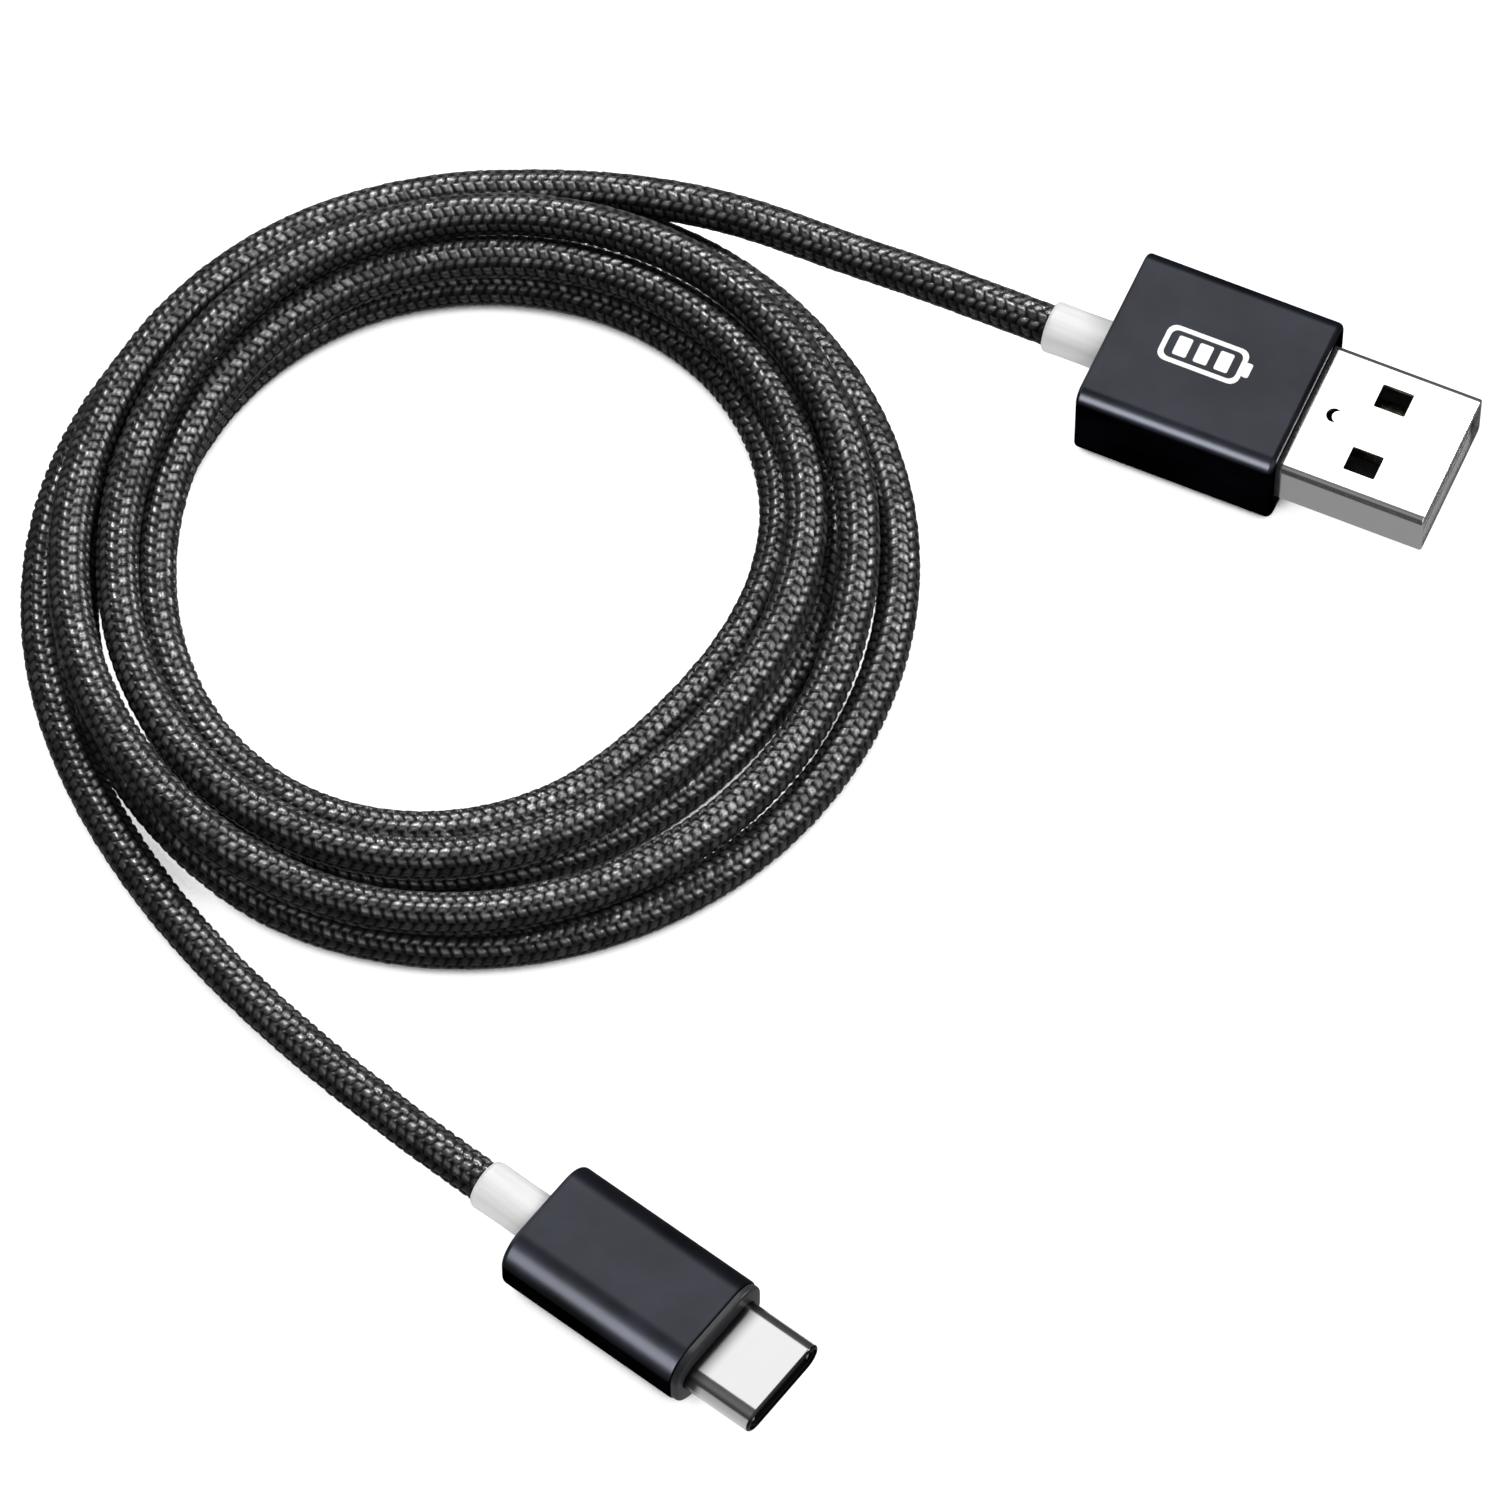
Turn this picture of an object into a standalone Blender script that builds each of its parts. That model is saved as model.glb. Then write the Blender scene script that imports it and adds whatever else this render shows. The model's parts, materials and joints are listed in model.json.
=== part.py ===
"""Braided USB-A to USB-C charging cable, coiled, with a movable lead at each end.

Frame: origin under the middle of the whole layout on the resting plane, +Z up,
both plugs point towards +X.  Lengths below are millimetres; MM converts.
"""
import bmesh
import bpy
import numpy as np
from math import cos, pi, radians, sin, sqrt
from mathutils import Matrix, Vector

MM = 0.001
SMOOTH_ANGLE = radians(40.0)

# ---------------------------------------------------------------- cable
CABLE_RADIUS = 1.6
SLEEVE_BORE_RADIUS = 1.27
CORE_RADIUS = 1.05
SLEEVE_SIDES = 8
CORE_SIDES = 6
STRAND_CLEARANCE = 3.28
COIL_RING_SPACING = 4.5
LEAD_RING_SPACING = 2.0
PATH_STEP = 0.8
COIL_SAMPLES = 2400
LEAD_SAMPLES = 200
RESTING_DISTANCE = 20.0

# ---------------------------------------------------------------- coil
COIL_CENTRE = np.array([-21.272, 20.03])
COIL_TURNS = 5.28
COIL_START_ANGLE = radians(188.0)
LAY_TURNS = (0.0, 0.12, 0.62, 1.12, 1.62, 2.12, 2.62, 3.12, 3.62, 4.12, 4.62, 5.12, 5.28)
LAY_LEVELS = (1.05, 1.04, 0.97, 0.65, 0.42, 0.14, 0.01, 0.07, 0.3, 0.4, 0.74, 0.84, 0.97)
INNER_RADIUS = 23.28
INNER_SHIFT = 0.88
INNER_SHIFT_ANGLE = radians(129.0)
INNER_OVAL = 1.79
INNER_OVAL_ANGLE = radians(54.0)
INNER_THREE = 0.53
INNER_THREE_ANGLE = radians(12.0)
OUTER_RADIUS = 32.22
OUTER_SHIFT = 1.38
OUTER_SHIFT_ANGLE = radians(287.0)
OUTER_OVAL = 0.67
OUTER_OVAL_ANGLE = radians(65.0)
LEAD_PULL_COIL_A = 1.38
LEAD_PULL_PLUG_A = 1.01
LEAD_PULL_PLUG_C = 0.9
LEAD_PULL_COIL_C = 0.99
LIFT_TAPER = 30.0
DRAPE_RADIUS = 60.0
DRAPE_REACH = 30
DRAPE_SIGMA = 2.2
DRAPE_WINDOW = 7
DRAPE_ROUNDS = 14

# ---------------------------------------------------------------- plug positions
# mouths are measured from the coil's centre
A_MOUTH = np.array([43.7, 19.65])
A_YAW = radians(-23.8)
A_HEIGHT = 3.95
C_MOUTH = np.array([1.85, -53.1])
C_YAW = radians(-37.9)
C_HEIGHT = 3.1

# joint centres, measured along the cable from each plug's strain relief
A_JOINTS = (25.0, 17.0, 9.5, 2.2)
C_JOINTS = (34.0, 24.0, 13.0, 2.5)

# ball-and-cup ends of the cable links
CUP_RADIUS = 1.82
BALL_MID = 0.479
CORE_BALL_END = 1.0
CORE_CUP_END = 1.85
JOINT_STRAIGHT = 2.0
CUP_MARGIN = 0.5

# ---------------------------------------------------------------- shared plug sizes
ROUND_SIDES = 16
RELIEF_BORE = 1.68
RELIEF_LIP = 0.15
HOUSING_WALL = 1.0
HOLE_CLEARANCE = 0.08
FLANGE_LENGTH = 0.9
FERRULE_LENGTH = 1.6
FERRULE_WALL = 0.36
PART_GAP = 0.1
TAIL_CORE_EXTRA = 0.6
EDGE_SEGMENTS = 3
HOUSING_EDGE = 0.57
WIRE_RADIUS = 0.3
WIRE_SIDES = 6
WIRE_SPREAD = 0.45
WIRE_STRAIGHT = 0.15
WIRE_LANDED = 0.5
WIRE_LAP = 1.4
SOLDER_GAP = 0.05

# ---------------------------------------------------------------- USB-A plug
A_RELIEF_LENGTH = 5.0
A_RELIEF_RADIUS = 2.0
A_FLANGE_RADIUS = 2.75
A_HOUSING = (16.0, 14.5, 7.9)
A_HOUSING_CORNER = 1.2
A_CAVITY = (12.9, 6.0)
A_CAVITY_CORNER = 0.6
A_COLLAR = (8.8, 12.7, 5.8)
A_COLLAR_CORNER = 0.5
A_COLLAR_RECESS = 0.2
A_SHELL = (20.7, 12.0, 4.5)
A_SHELL_CORNER = 0.6
A_SHELL_WALL = 0.3
A_SHELL_REACH = 11.7
A_WINDOW = (2.5, 2.1)
A_WINDOW_SIDE = 3.0
A_WINDOW_BACK = 6.0
A_CARRIER_WIDTH = 11.2
A_CARRIER_Z = (-1.85, 0.05)
A_CARRIER_RECESS = 0.5
A_CARRIER_START = 13.0
A_CONTACT_SIDES = (-3.5, -1.0, 1.0, 3.5)
A_CONTACT_RECESS = (1.2, 2.2, 2.2, 1.2)
A_CONTACT_WIDTH = 1.0
A_CONTACT_Z = (0.10, 0.30)
A_CONTACT_START = 11.3

# ---------------------------------------------------------------- USB-C plug
C_RELIEF_LENGTH = 5.3
C_RELIEF_RADIUS = 1.95
C_FLANGE_RADIUS = 2.15
C_HOUSING = (16.2, 10.1, 6.2)
C_HOUSING_CORNER = 2.4
C_CAVITY = (9.0, 4.9)
C_CAVITY_CORNER = 2.0
C_COLLAR = (5.2, 8.8, 4.7)
C_COLLAR_CORNER = 1.9
C_COLLAR_RECESS = 0.15
C_SHELL = (11.85, 8.34, 2.56)
C_SHELL_WALL = 0.25
C_SHELL_REACH = 5.85
C_INSERT = (7.72, 1.9)
C_SLOT = (7.2, 1.32)
C_INSERT_RECESS = 0.15
C_BOARD = (11.0, 15.0, 6.8, 0.8)
C_CAN = (9.4, 15.2, 8.0, 4.0)
C_CAN_CORNER = 1.0
C_CAN_WALL = 0.2
C_RESISTOR = (13.2, 14.2, 0.5, 0.35)
C_WIRE_SIDE = 1.4
C_SECTION_SEGMENTS = 5
C_CONTACT_PITCH = 0.5
C_UPPER_PLACES = (-5.5, -2.5, -1.5, -0.5, 0.5, 2.5, 5.5)
C_LOWER_PLACES = (-5.5, -2.5, 2.5, 5.5)
C_CONTACT_WIDTH = 0.25
C_CONTACT_Z = (0.36, 0.46)
C_CONTACT_BUMP = 0.24
C_CONTACT_START = 15.4
C_CONTACT_TIP = 1.0
C_CONTACT_BENDS = (2.0, 1.5, 1.0)
C_CONTACT_TIP_LIFT = 0.02
C_CONTACT_HINGE = 18.0
C_LATCH_Y = (3.05, 3.28)
C_LATCH_HOOK = 2.92
C_LATCH_HALF_HEIGHT = 0.3
C_LATCH_START = 16.4
C_LATCH_HINGE = 17.0
C_LATCH_BENDS = (1.8, 1.2, 0.7)


# ---------------------------------------------------------------- materials
PAINTS = {
    "black_braid": ((0.020, 0.020, 0.022), 0.75, 0.0),
    "grey_pvc": ((0.30, 0.31, 0.33), 0.55, 0.0),
    "gunmetal": ((0.045, 0.048, 0.062), 0.38, 1.0),
    "white_rubber": ((0.80, 0.80, 0.80), 0.50, 0.0),
    "plated_steel": ((0.72, 0.73, 0.75), 0.22, 1.0),
    "black_plastic": ((0.015, 0.015, 0.016), 0.45, 0.0),
    "gold": ((0.85, 0.60, 0.25), 0.28, 1.0),
    "tinned_copper": ((0.62, 0.60, 0.58), 0.35, 1.0),
    "circuit_board": ((0.02, 0.10, 0.04), 0.50, 0.0),
    "resistor_black": ((0.03, 0.03, 0.03), 0.40, 0.0),
    "wire_red": ((0.50, 0.02, 0.02), 0.45, 0.0),
    "wire_white": ((0.75, 0.75, 0.73), 0.45, 0.0),
    "wire_green": ((0.03, 0.28, 0.06), 0.45, 0.0),
    "wire_black": ((0.02, 0.02, 0.02), 0.45, 0.0),
}
WIRE_PAINTS = ("wire_red", "wire_white", "wire_green", "wire_black")


def paint(name):
    """Return the named material, making it the first time it is used."""
    material = bpy.data.materials.get(name)
    if material:
        return material
    colour, roughness, metallic = PAINTS[name]
    material = bpy.data.materials.new(name)
    material.use_nodes = True
    surface = material.node_tree.nodes["Principled BSDF"]
    surface.inputs["Base Color"].default_value = (*colour, 1.0)
    surface.inputs["Roughness"].default_value = roughness
    surface.inputs["Metallic"].default_value = metallic
    return material


def clear_scene():
    """Remove whatever the new file starts with."""
    for item in list(bpy.data.objects):
        bpy.data.objects.remove(item, do_unlink=True)


# ---------------------------------------------------------------- mesh helpers
def add_object(name, form, material, smooth=False):
    """Turn a bmesh in millimetres into a scene object in metres."""
    bmesh.ops.recalc_face_normals(form, faces=form.faces)
    form.transform(Matrix.Scale(MM, 4))
    mesh = bpy.data.meshes.new(name)
    form.to_mesh(mesh)
    form.free()
    if smooth:
        mesh.shade_smooth()
        mesh.set_sharp_from_angle(angle=SMOOTH_ANGLE)
    mesh.materials.append(paint(material))
    item = bpy.data.objects.new(name, mesh)
    bpy.context.collection.objects.link(item)
    return item


def ring_solid(name, rings, material, closed, smooth=False):
    """Skin a list of equal-sized rings; closed joins last to first, else capped."""
    form = bmesh.new()
    loops = [[form.verts.new(Vector(point)) for point in ring] for ring in rings]
    following = loops[1:] + loops[:1] if closed else loops[1:]
    for near, far in zip(loops, following):
        count = len(near)
        for index in range(count):
            after = (index + 1) % count
            form.faces.new((near[index], near[after], far[after], far[index]))
    if not closed:
        form.faces.new(list(reversed(loops[0])))
        form.faces.new(loops[-1])
    return add_object(name, form, material, smooth)


def round_outline(width, height, corner, inset=0.0, segments=4):
    """Points of a rounded rectangle in the y-z plane, counter-clockwise."""
    half_width = width / 2 - inset
    half_height = height / 2 - inset
    radius = corner - inset
    points = []
    for quarter in range(4):
        side_y = 1 if quarter in (0, 3) else -1
        side_z = 1 if quarter < 2 else -1
        for step in range(segments + 1):
            angle = (quarter + step / segments) * pi / 2
            y = side_y * (half_width - radius) + radius * cos(angle)
            z = side_z * (half_height - radius) + radius * sin(angle)
            points.append((y, z))
    return points


def circle_outline(radius, segments=4):
    """Circle with the same number of points as round_outline."""
    count = 4 * (segments + 1)
    angles = [2 * pi * (index + 0.5) / count for index in range(count)]
    return [(radius * cos(angle), radius * sin(angle)) for angle in angles]


def at(x, outline):
    """Lift a y-z outline to the plane at x."""
    return [(x, y, z) for y, z in outline]


def round_rings(profile, sides=ROUND_SIDES):
    """Rings around the x axis for a profile of (x, radius) pairs."""
    angles = [2 * pi * index / sides for index in range(sides)]
    return [[(x, r * cos(a), r * sin(a)) for a in angles] for x, r in profile]


def box_form(low, high):
    """A bmesh box between two corners."""
    form = bmesh.new()
    bmesh.ops.create_cube(form, size=1.0)
    for vert in form.verts:
        for axis in range(3):
            middle = (low[axis] + high[axis]) / 2
            vert.co[axis] = middle + vert.co[axis] * (high[axis] - low[axis])
    return form


def box(name, low, high, material):
    """A plain box object between two corners."""
    return add_object(name, box_form(low, high), material)


def side_profile(name, points, low_y, high_y, material):
    """Extrude a closed x-z outline between two y positions."""
    near = [(x, low_y, z) for x, z in points]
    far = [(x, high_y, z) for x, z in points]
    return ring_solid(name, [near, far], material, closed=False)


def tube_between(name, path, radius, sides, material):
    """A solid round rod following a short list of points."""
    points = [Vector(point) for point in path]
    rings = []
    for index, point in enumerate(points):
        before = points[max(index - 1, 0)]
        after = points[min(index + 1, len(points) - 1)]
        along = (after - before).normalized()
        across = along.cross(Vector((0, 0, 1))).normalized()
        up = across.cross(along)
        angles = [2 * pi * step / sides for step in range(sides)]
        rings.append([point + radius * (cos(a) * across + sin(a) * up) for a in angles])
    return ring_solid(name, rings, material, closed=False, smooth=True)


# ---------------------------------------------------------------- cable centre line
def smooth_step(value):
    """Cubic ease from 0 to 1, clamped."""
    value = np.clip(value, 0.0, 1.0)
    return value * value * (3 - 2 * value)


def hermite(start, start_pull, end, end_pull, count):
    """Cubic curve between two points with given end tangents."""
    t = np.linspace(0, 1, count)[:, None]
    a = 2 * t**3 - 3 * t**2 + 1
    b = t**3 - 2 * t**2 + t
    c = -2 * t**3 + 3 * t**2
    d = t**3 - t**2
    return a * start + b * start_pull + c * end + d * end_pull


def lay_level(turns):
    """Radial level of the strand (0 inner edge, 1 outer edge) after some turns."""
    knots = np.array(LAY_TURNS)
    levels = np.array(LAY_LEVELS)
    slopes = np.gradient(levels, knots)
    cell = np.clip(np.searchsorted(knots, turns, "right") - 1, 0, len(knots) - 2)
    width = knots[cell + 1] - knots[cell]
    t = (turns - knots[cell]) / width
    rise = (2 * t**3 - 3 * t**2 + 1) * levels[cell] + (3 * t**2 - 2 * t**3) * levels[cell + 1]
    bend = (t**3 - 2 * t**2 + t) * slopes[cell] + (t**3 - t**2) * slopes[cell + 1]
    return rise + bend * width


def coil_plan():
    """Plan view of the coiled cable, clockwise from the USB-C side."""
    turns = np.linspace(0, COIL_TURNS, COIL_SAMPLES)
    angle = COIL_START_ANGLE - 2 * pi * turns
    inner = INNER_RADIUS + INNER_SHIFT * np.cos(angle - INNER_SHIFT_ANGLE)
    inner = inner + INNER_OVAL * np.cos(2 * (angle - INNER_OVAL_ANGLE))
    inner = inner + INNER_THREE * np.cos(3 * (angle - INNER_THREE_ANGLE))
    outer = OUTER_RADIUS + OUTER_SHIFT * np.cos(angle - OUTER_SHIFT_ANGLE)
    outer = outer + OUTER_OVAL * np.cos(2 * (angle - OUTER_OVAL_ANGLE))
    radius = inner + (outer - inner) * lay_level(turns)
    return np.stack([radius * np.cos(angle), radius * np.sin(angle)], axis=-1)


def cable_plan():
    """Plan view of the whole cable at an even step: points and distances."""
    coil = coil_plan()
    start = (coil[1] - coil[0]) / np.linalg.norm(coil[1] - coil[0])
    end = (coil[-1] - coil[-2]) / np.linalg.norm(coil[-1] - coil[-2])
    reach_c = np.linalg.norm(coil[0] - C_MOUTH)
    reach_a = np.linalg.norm(A_MOUTH - coil[-1])
    out_c = -np.array([cos(C_YAW), sin(C_YAW)])
    out_a = np.array([cos(A_YAW), sin(A_YAW)])
    lead_c = hermite(C_MOUTH, out_c * reach_c * LEAD_PULL_PLUG_C,
                     coil[0], start * reach_c * LEAD_PULL_COIL_C, LEAD_SAMPLES)
    lead_a = hermite(coil[-1], end * reach_a * LEAD_PULL_COIL_A,
                     A_MOUTH, out_a * reach_a * LEAD_PULL_PLUG_A, LEAD_SAMPLES)
    points = np.vstack([lead_c[:-1], coil, lead_a[1:]])
    gaps = np.linalg.norm(np.diff(points, axis=0), axis=1)
    along = np.concatenate([[0.0], np.cumsum(gaps)])
    even = np.linspace(0, along[-1], int(round(along[-1] / PATH_STEP)) + 1)
    plan = np.stack([np.interp(even, along, points[:, axis]) for axis in range(2)], axis=-1)
    return plan, even


def widen(values):
    """Raise neighbours so that the line drapes over a hump with a limited bend."""
    steps = np.arange(-DRAPE_REACH, DRAPE_REACH + 1)
    drop = (steps * PATH_STEP) ** 2 / (2 * DRAPE_RADIUS)
    padded = np.pad(values, DRAPE_REACH, mode="edge")
    shifted = [padded[i:i + len(values)] - drop[i] for i in range(len(steps))]
    return np.max(shifted, axis=0)


def blur(values, weights):
    """Weighted moving average that keeps the length."""
    half = len(weights) // 2
    padded = np.pad(values, half, mode="edge")
    return np.convolve(padded, weights / weights.sum(), mode="valid")


def lay_heights(plan, along):
    """Centre-line height: each strand rests on the floor or on earlier strands."""
    apart = np.linalg.norm(plan[:, None] - plan[None, :], axis=-1)
    later = (along[:, None] - along[None, :]) > RESTING_DISTANCE
    crossing = (apart < STRAND_CLEARANCE) & later
    rise = np.sqrt(np.maximum(STRAND_CLEARANCE**2 - apart**2, 0.0))
    lift = np.where(crossing, rise, -np.inf)
    floor = np.full(len(along), CABLE_RADIUS)
    floor = floor + smooth_step(1 - along / C_JOINTS[0]) * (C_HEIGHT - CABLE_RADIUS)
    floor = floor + smooth_step(1 - (along[-1] - along) / LIFT_TAPER) * (A_HEIGHT - CABLE_RADIUS)
    offsets = np.arange(-3 * DRAPE_WINDOW, 3 * DRAPE_WINDOW + 1) * PATH_STEP
    bell = np.exp(-offsets**2 / (2 * DRAPE_SIGMA**2))
    flat = np.ones(DRAPE_WINDOW)
    height = floor
    for _ in range(DRAPE_ROUNDS):
        need = np.maximum(floor, (height[None, :] + lift).max(axis=1))
        soft = widen(need)
        soft = np.maximum(blur(soft, bell), need)
        height = np.maximum(blur(soft, flat), floor)
    return height


class CableLine:
    """Centre line of the cable with straight run-outs into both plugs."""

    def __init__(self):
        plan, self.along = cable_plan()
        self.points = np.column_stack([plan + COIL_CENTRE, lay_heights(plan, self.along)])
        self.length = float(self.along[-1])

    def point(self, s):
        inside = min(max(s, 0.0), self.length)
        place = [np.interp(inside, self.along, self.points[:, axis]) for axis in range(3)]
        return Vector(place) + (s - inside) * self.tangent(inside)

    def tangent(self, s):
        low = max(s - PATH_STEP, 0.0)
        high = min(s + PATH_STEP, self.length)
        ends = [[np.interp(v, self.along, self.points[:, axis]) for axis in range(3)]
                for v in (low, high)]
        return (Vector(ends[1]) - Vector(ends[0])).normalized()


def ring_round(centre, along, radius, sides):
    """Ring of points square to a direction, first point underneath."""
    across = along.cross(Vector((0, 0, 1))).normalized()
    up = across.cross(along)
    angles = [2 * pi * index / sides for index in range(sides)]
    return [centre + radius * (sin(a) * across - cos(a) * up) for a in angles]


def middle_stations(low, high, spacing):
    """Evenly spaced distances strictly between two joint regions."""
    start = low + JOINT_STRAIGHT
    end = high - JOINT_STRAIGHT - CUP_MARGIN
    count = max(int(round((end - start) / spacing)), 1)
    return [start + (end - start) * index / count for index in range(count + 1)]


def sleeve_rings(line, low, high, spacing, ball, cup):
    """Closed loop of rings for a braided sleeve between two distances."""
    def ring(joint, offset, radius):
        return ring_round(line.point(joint) + offset * line.tangent(joint),
                          line.tangent(joint), radius, SLEEVE_SIDES)

    def path_ring(s, radius):
        return ring_round(line.point(s), line.tangent(s), radius, SLEEVE_SIDES)

    stations = middle_stations(low, high, spacing)
    outside = [path_ring(s, CABLE_RADIUS) for s in stations]
    inside = [path_ring(s, SLEEVE_BORE_RADIUS) for s in reversed(stations)]
    if ball:
        back = sqrt(CABLE_RADIUS**2 - SLEEVE_BORE_RADIUS**2)
        shoulder = sqrt(CABLE_RADIUS**2 - BALL_MID**2)
        start = [ring(low, -back, SLEEVE_BORE_RADIUS), ring(low, -BALL_MID, shoulder),
                 ring(low, 0.0, CABLE_RADIUS)]
        inner_start = [ring(low, 0.0, SLEEVE_BORE_RADIUS)]
    else:
        start = [path_ring(low, SLEEVE_BORE_RADIUS), path_ring(low, CABLE_RADIUS)]
        inner_start = []
    if cup:
        rim = sqrt(CUP_RADIUS**2 - CABLE_RADIUS**2)
        seat = sqrt(CUP_RADIUS**2 - SLEEVE_BORE_RADIUS**2)
        end = [ring(high, -rim, CABLE_RADIUS), ring(high, -seat, SLEEVE_BORE_RADIUS)]
    else:
        end = [path_ring(high, CABLE_RADIUS), path_ring(high, SLEEVE_BORE_RADIUS)]
    return start + outside + end + inside + inner_start


def core_rings(line, low, high, spacing, ball, cup):
    """Rings for the solid wire bundle inside a sleeve."""
    start = low - CORE_BALL_END if ball else low - TAIL_CORE_EXTRA
    end = high - CORE_CUP_END if cup else high + TAIL_CORE_EXTRA
    first = line.tangent(low)
    last = line.tangent(high)
    rings = [ring_round(line.point(low) + (start - low) * first, first, CORE_RADIUS, CORE_SIDES)]
    for s in middle_stations(low, high, spacing):
        rings.append(ring_round(line.point(s), line.tangent(s), CORE_RADIUS, CORE_SIDES))
    rings.append(ring_round(line.point(high) + (end - high) * last, last, CORE_RADIUS, CORE_SIDES))
    return rings


def cable_piece(line, name, low, high, pivot, spacing, ball=True, cup=True):
    """Sleeve and core of one stretch of cable, origins on the pivot."""
    origin = line.point(pivot) if pivot is not None else Vector((0.0, 0.0, 0.0))
    sleeve = sleeve_rings(line, low, high, spacing, ball, cup)
    core = core_rings(line, low, high, spacing, ball, cup)
    for suffix, rings, material, closed in (("_sleeve", sleeve, "black_braid", True),
                                            ("_core", core, "grey_pvc", False)):
        local = [[point - origin for point in ring] for ring in rings]
        item = ring_solid(name + suffix, local, material, closed, smooth=True)
        item.location = origin * MM


def build_cable(line, tail_a, tail_c):
    """Coil, three links per lead and the tails held in the plugs."""
    end = line.length
    a_stops = [end - distance for distance in A_JOINTS]
    cable_piece(line, "coil", C_JOINTS[0], a_stops[0], None, COIL_RING_SPACING)
    for index in range(3):
        cable_piece(line, f"lead_a{index + 1}", a_stops[index], a_stops[index + 1],
                    a_stops[index], LEAD_RING_SPACING)
        cable_piece(line, f"lead_c{index + 1}", C_JOINTS[index + 1], C_JOINTS[index],
                    C_JOINTS[index], LEAD_RING_SPACING)
    cable_piece(line, "usb_a_tail", a_stops[3], end + tail_a, a_stops[3],
                LEAD_RING_SPACING, cup=False)
    cable_piece(line, "usb_c_tail", -tail_c, C_JOINTS[3], C_JOINTS[3],
                LEAD_RING_SPACING, ball=False)


# ---------------------------------------------------------------- plug pieces
class Plug:
    """Places pieces drawn from the cable mouth (x forward) on a plug's pivot."""

    def __init__(self, line, joint_s, mouth, height, yaw):
        self.pivot = line.point(joint_s)
        self.turn = Matrix.Rotation(yaw, 4, "Z")
        self.mouth = Vector((*(mouth + COIL_CENTRE), height))

    def place(self, item, pivot=None):
        """Move a piece into the world with its origin on the given pivot."""
        origin = self.pivot if pivot is None else self.mouth + self.turn @ Vector(pivot)
        local = self.turn.inverted() @ (self.mouth - origin)
        item.data.transform(Matrix.Translation(local * MM))
        item.matrix_world = Matrix.Translation(origin * MM) @ self.turn
        return item


def relief(name, length, radius, flange_radius):
    """White strain relief: sleeve outside, flange trapped inside the housing."""
    wall_end = length + HOUSING_WALL + PART_GAP
    profile = [(0.0, RELIEF_BORE), (0.0, radius - RELIEF_LIP), (RELIEF_LIP, radius),
               (wall_end, radius), (wall_end, flange_radius),
               (wall_end + FLANGE_LENGTH, flange_radius),
               (wall_end + FLANGE_LENGTH, RELIEF_BORE)]
    return ring_solid(name, round_rings(profile), "white_rubber", closed=True, smooth=True)


def ferrule_start(relief_length):
    """Distance from the mouth to the crimp ring."""
    return relief_length + HOUSING_WALL + 2 * PART_GAP + FLANGE_LENGTH


def ferrule(name, relief_length):
    """Crimp ring that grips the end of the braid."""
    start = ferrule_start(relief_length)
    end = start + FERRULE_LENGTH
    outer = RELIEF_BORE + FERRULE_WALL
    profile = [(start, RELIEF_BORE), (start, outer), (end, outer), (end, RELIEF_BORE)]
    return ring_solid(name, round_rings(profile), "tinned_copper", closed=True, smooth=True)


def housing(name, start, size, corner, cavity, cavity_corner, hole_radius):
    """Metal housing: rounded tube open at the front, cable hole in the rear wall."""
    length, width, height = size
    end = start + length
    floor = start + HOUSING_WALL
    rings = [at(floor, circle_outline(hole_radius)), at(start, circle_outline(hole_radius))]
    for step in range(EDGE_SEGMENTS + 1):
        angle = step / EDGE_SEGMENTS * pi / 2
        inset = HOUSING_EDGE * (1 - sin(angle))
        x = start + HOUSING_EDGE * (1 - cos(angle))
        rings.append(at(x, round_outline(width, height, corner, inset)))
    lip = HOUSING_EDGE / 2
    rings.append(at(end - lip, round_outline(width, height, corner)))
    rings.append(at(end, round_outline(width, height, corner, lip)))
    rings.append(at(end, round_outline(*cavity, cavity_corner)))
    rings.append(at(floor, round_outline(*cavity, cavity_corner)))
    return ring_solid(name, rings, "gunmetal", closed=True, smooth=True)


def frame_tube(name, start, end, outer, outer_corner, inner, inner_corner, material, segments=4):
    """Straight tube with rounded-rectangle outside and inside."""
    outside = round_outline(*outer, outer_corner, segments=segments)
    inside = round_outline(*inner, inner_corner, segments=segments)
    rings = [at(start, inside), at(start, outside), at(end, outside), at(end, inside)]
    return ring_solid(name, rings, material, closed=True, smooth=True)


def wires(prefix, plug, start, end, targets):
    """Four insulated wires fanning from the cable core to their solder points."""
    corners = ((-1, 1), (-1, -1), (1, -1), (1, 1))
    for index, (target, corner) in enumerate(zip(targets, corners)):
        y, z = target
        near = (WIRE_SPREAD * corner[0], WIRE_SPREAD * corner[1])
        reach = end - start
        path = [(start, near[0], near[1]), (start + WIRE_STRAIGHT * reach, near[0], near[1]),
                (start + WIRE_LANDED * reach, y, z), (end, y, z)]
        plug.place(tube_between(f"{prefix}_wire_{index + 1}", path, WIRE_RADIUS,
                                WIRE_SIDES, WIRE_PAINTS[index]))


# ---------------------------------------------------------------- USB-A
def cut_windows(shell, plug, front):
    """Cut the two latch windows through the top and bottom of the shell."""
    form = bmesh.new()
    depth, width = A_WINDOW
    for side in (-1, 1):
        middle = (front - A_WINDOW_BACK, side * A_WINDOW_SIDE, 0.0)
        low = (middle[0] - depth / 2, middle[1] - width / 2, -A_SHELL[2])
        high = (middle[0] + depth / 2, middle[1] + width / 2, A_SHELL[2])
        piece = box_form(low, high)
        mesh = bpy.data.meshes.new("window_part")
        piece.to_mesh(mesh)
        piece.free()
        form.from_mesh(mesh)
        bpy.data.meshes.remove(mesh)
    cutter = plug.place(add_object("usb_a_window_cutter", form, "plated_steel"))
    cutter.hide_render = True
    cutter.display_type = "WIRE"
    cut = shell.modifiers.new("windows", "BOOLEAN")
    cut.operation = "DIFFERENCE"
    cut.solver = "EXACT"
    cut.object = cutter


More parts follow.
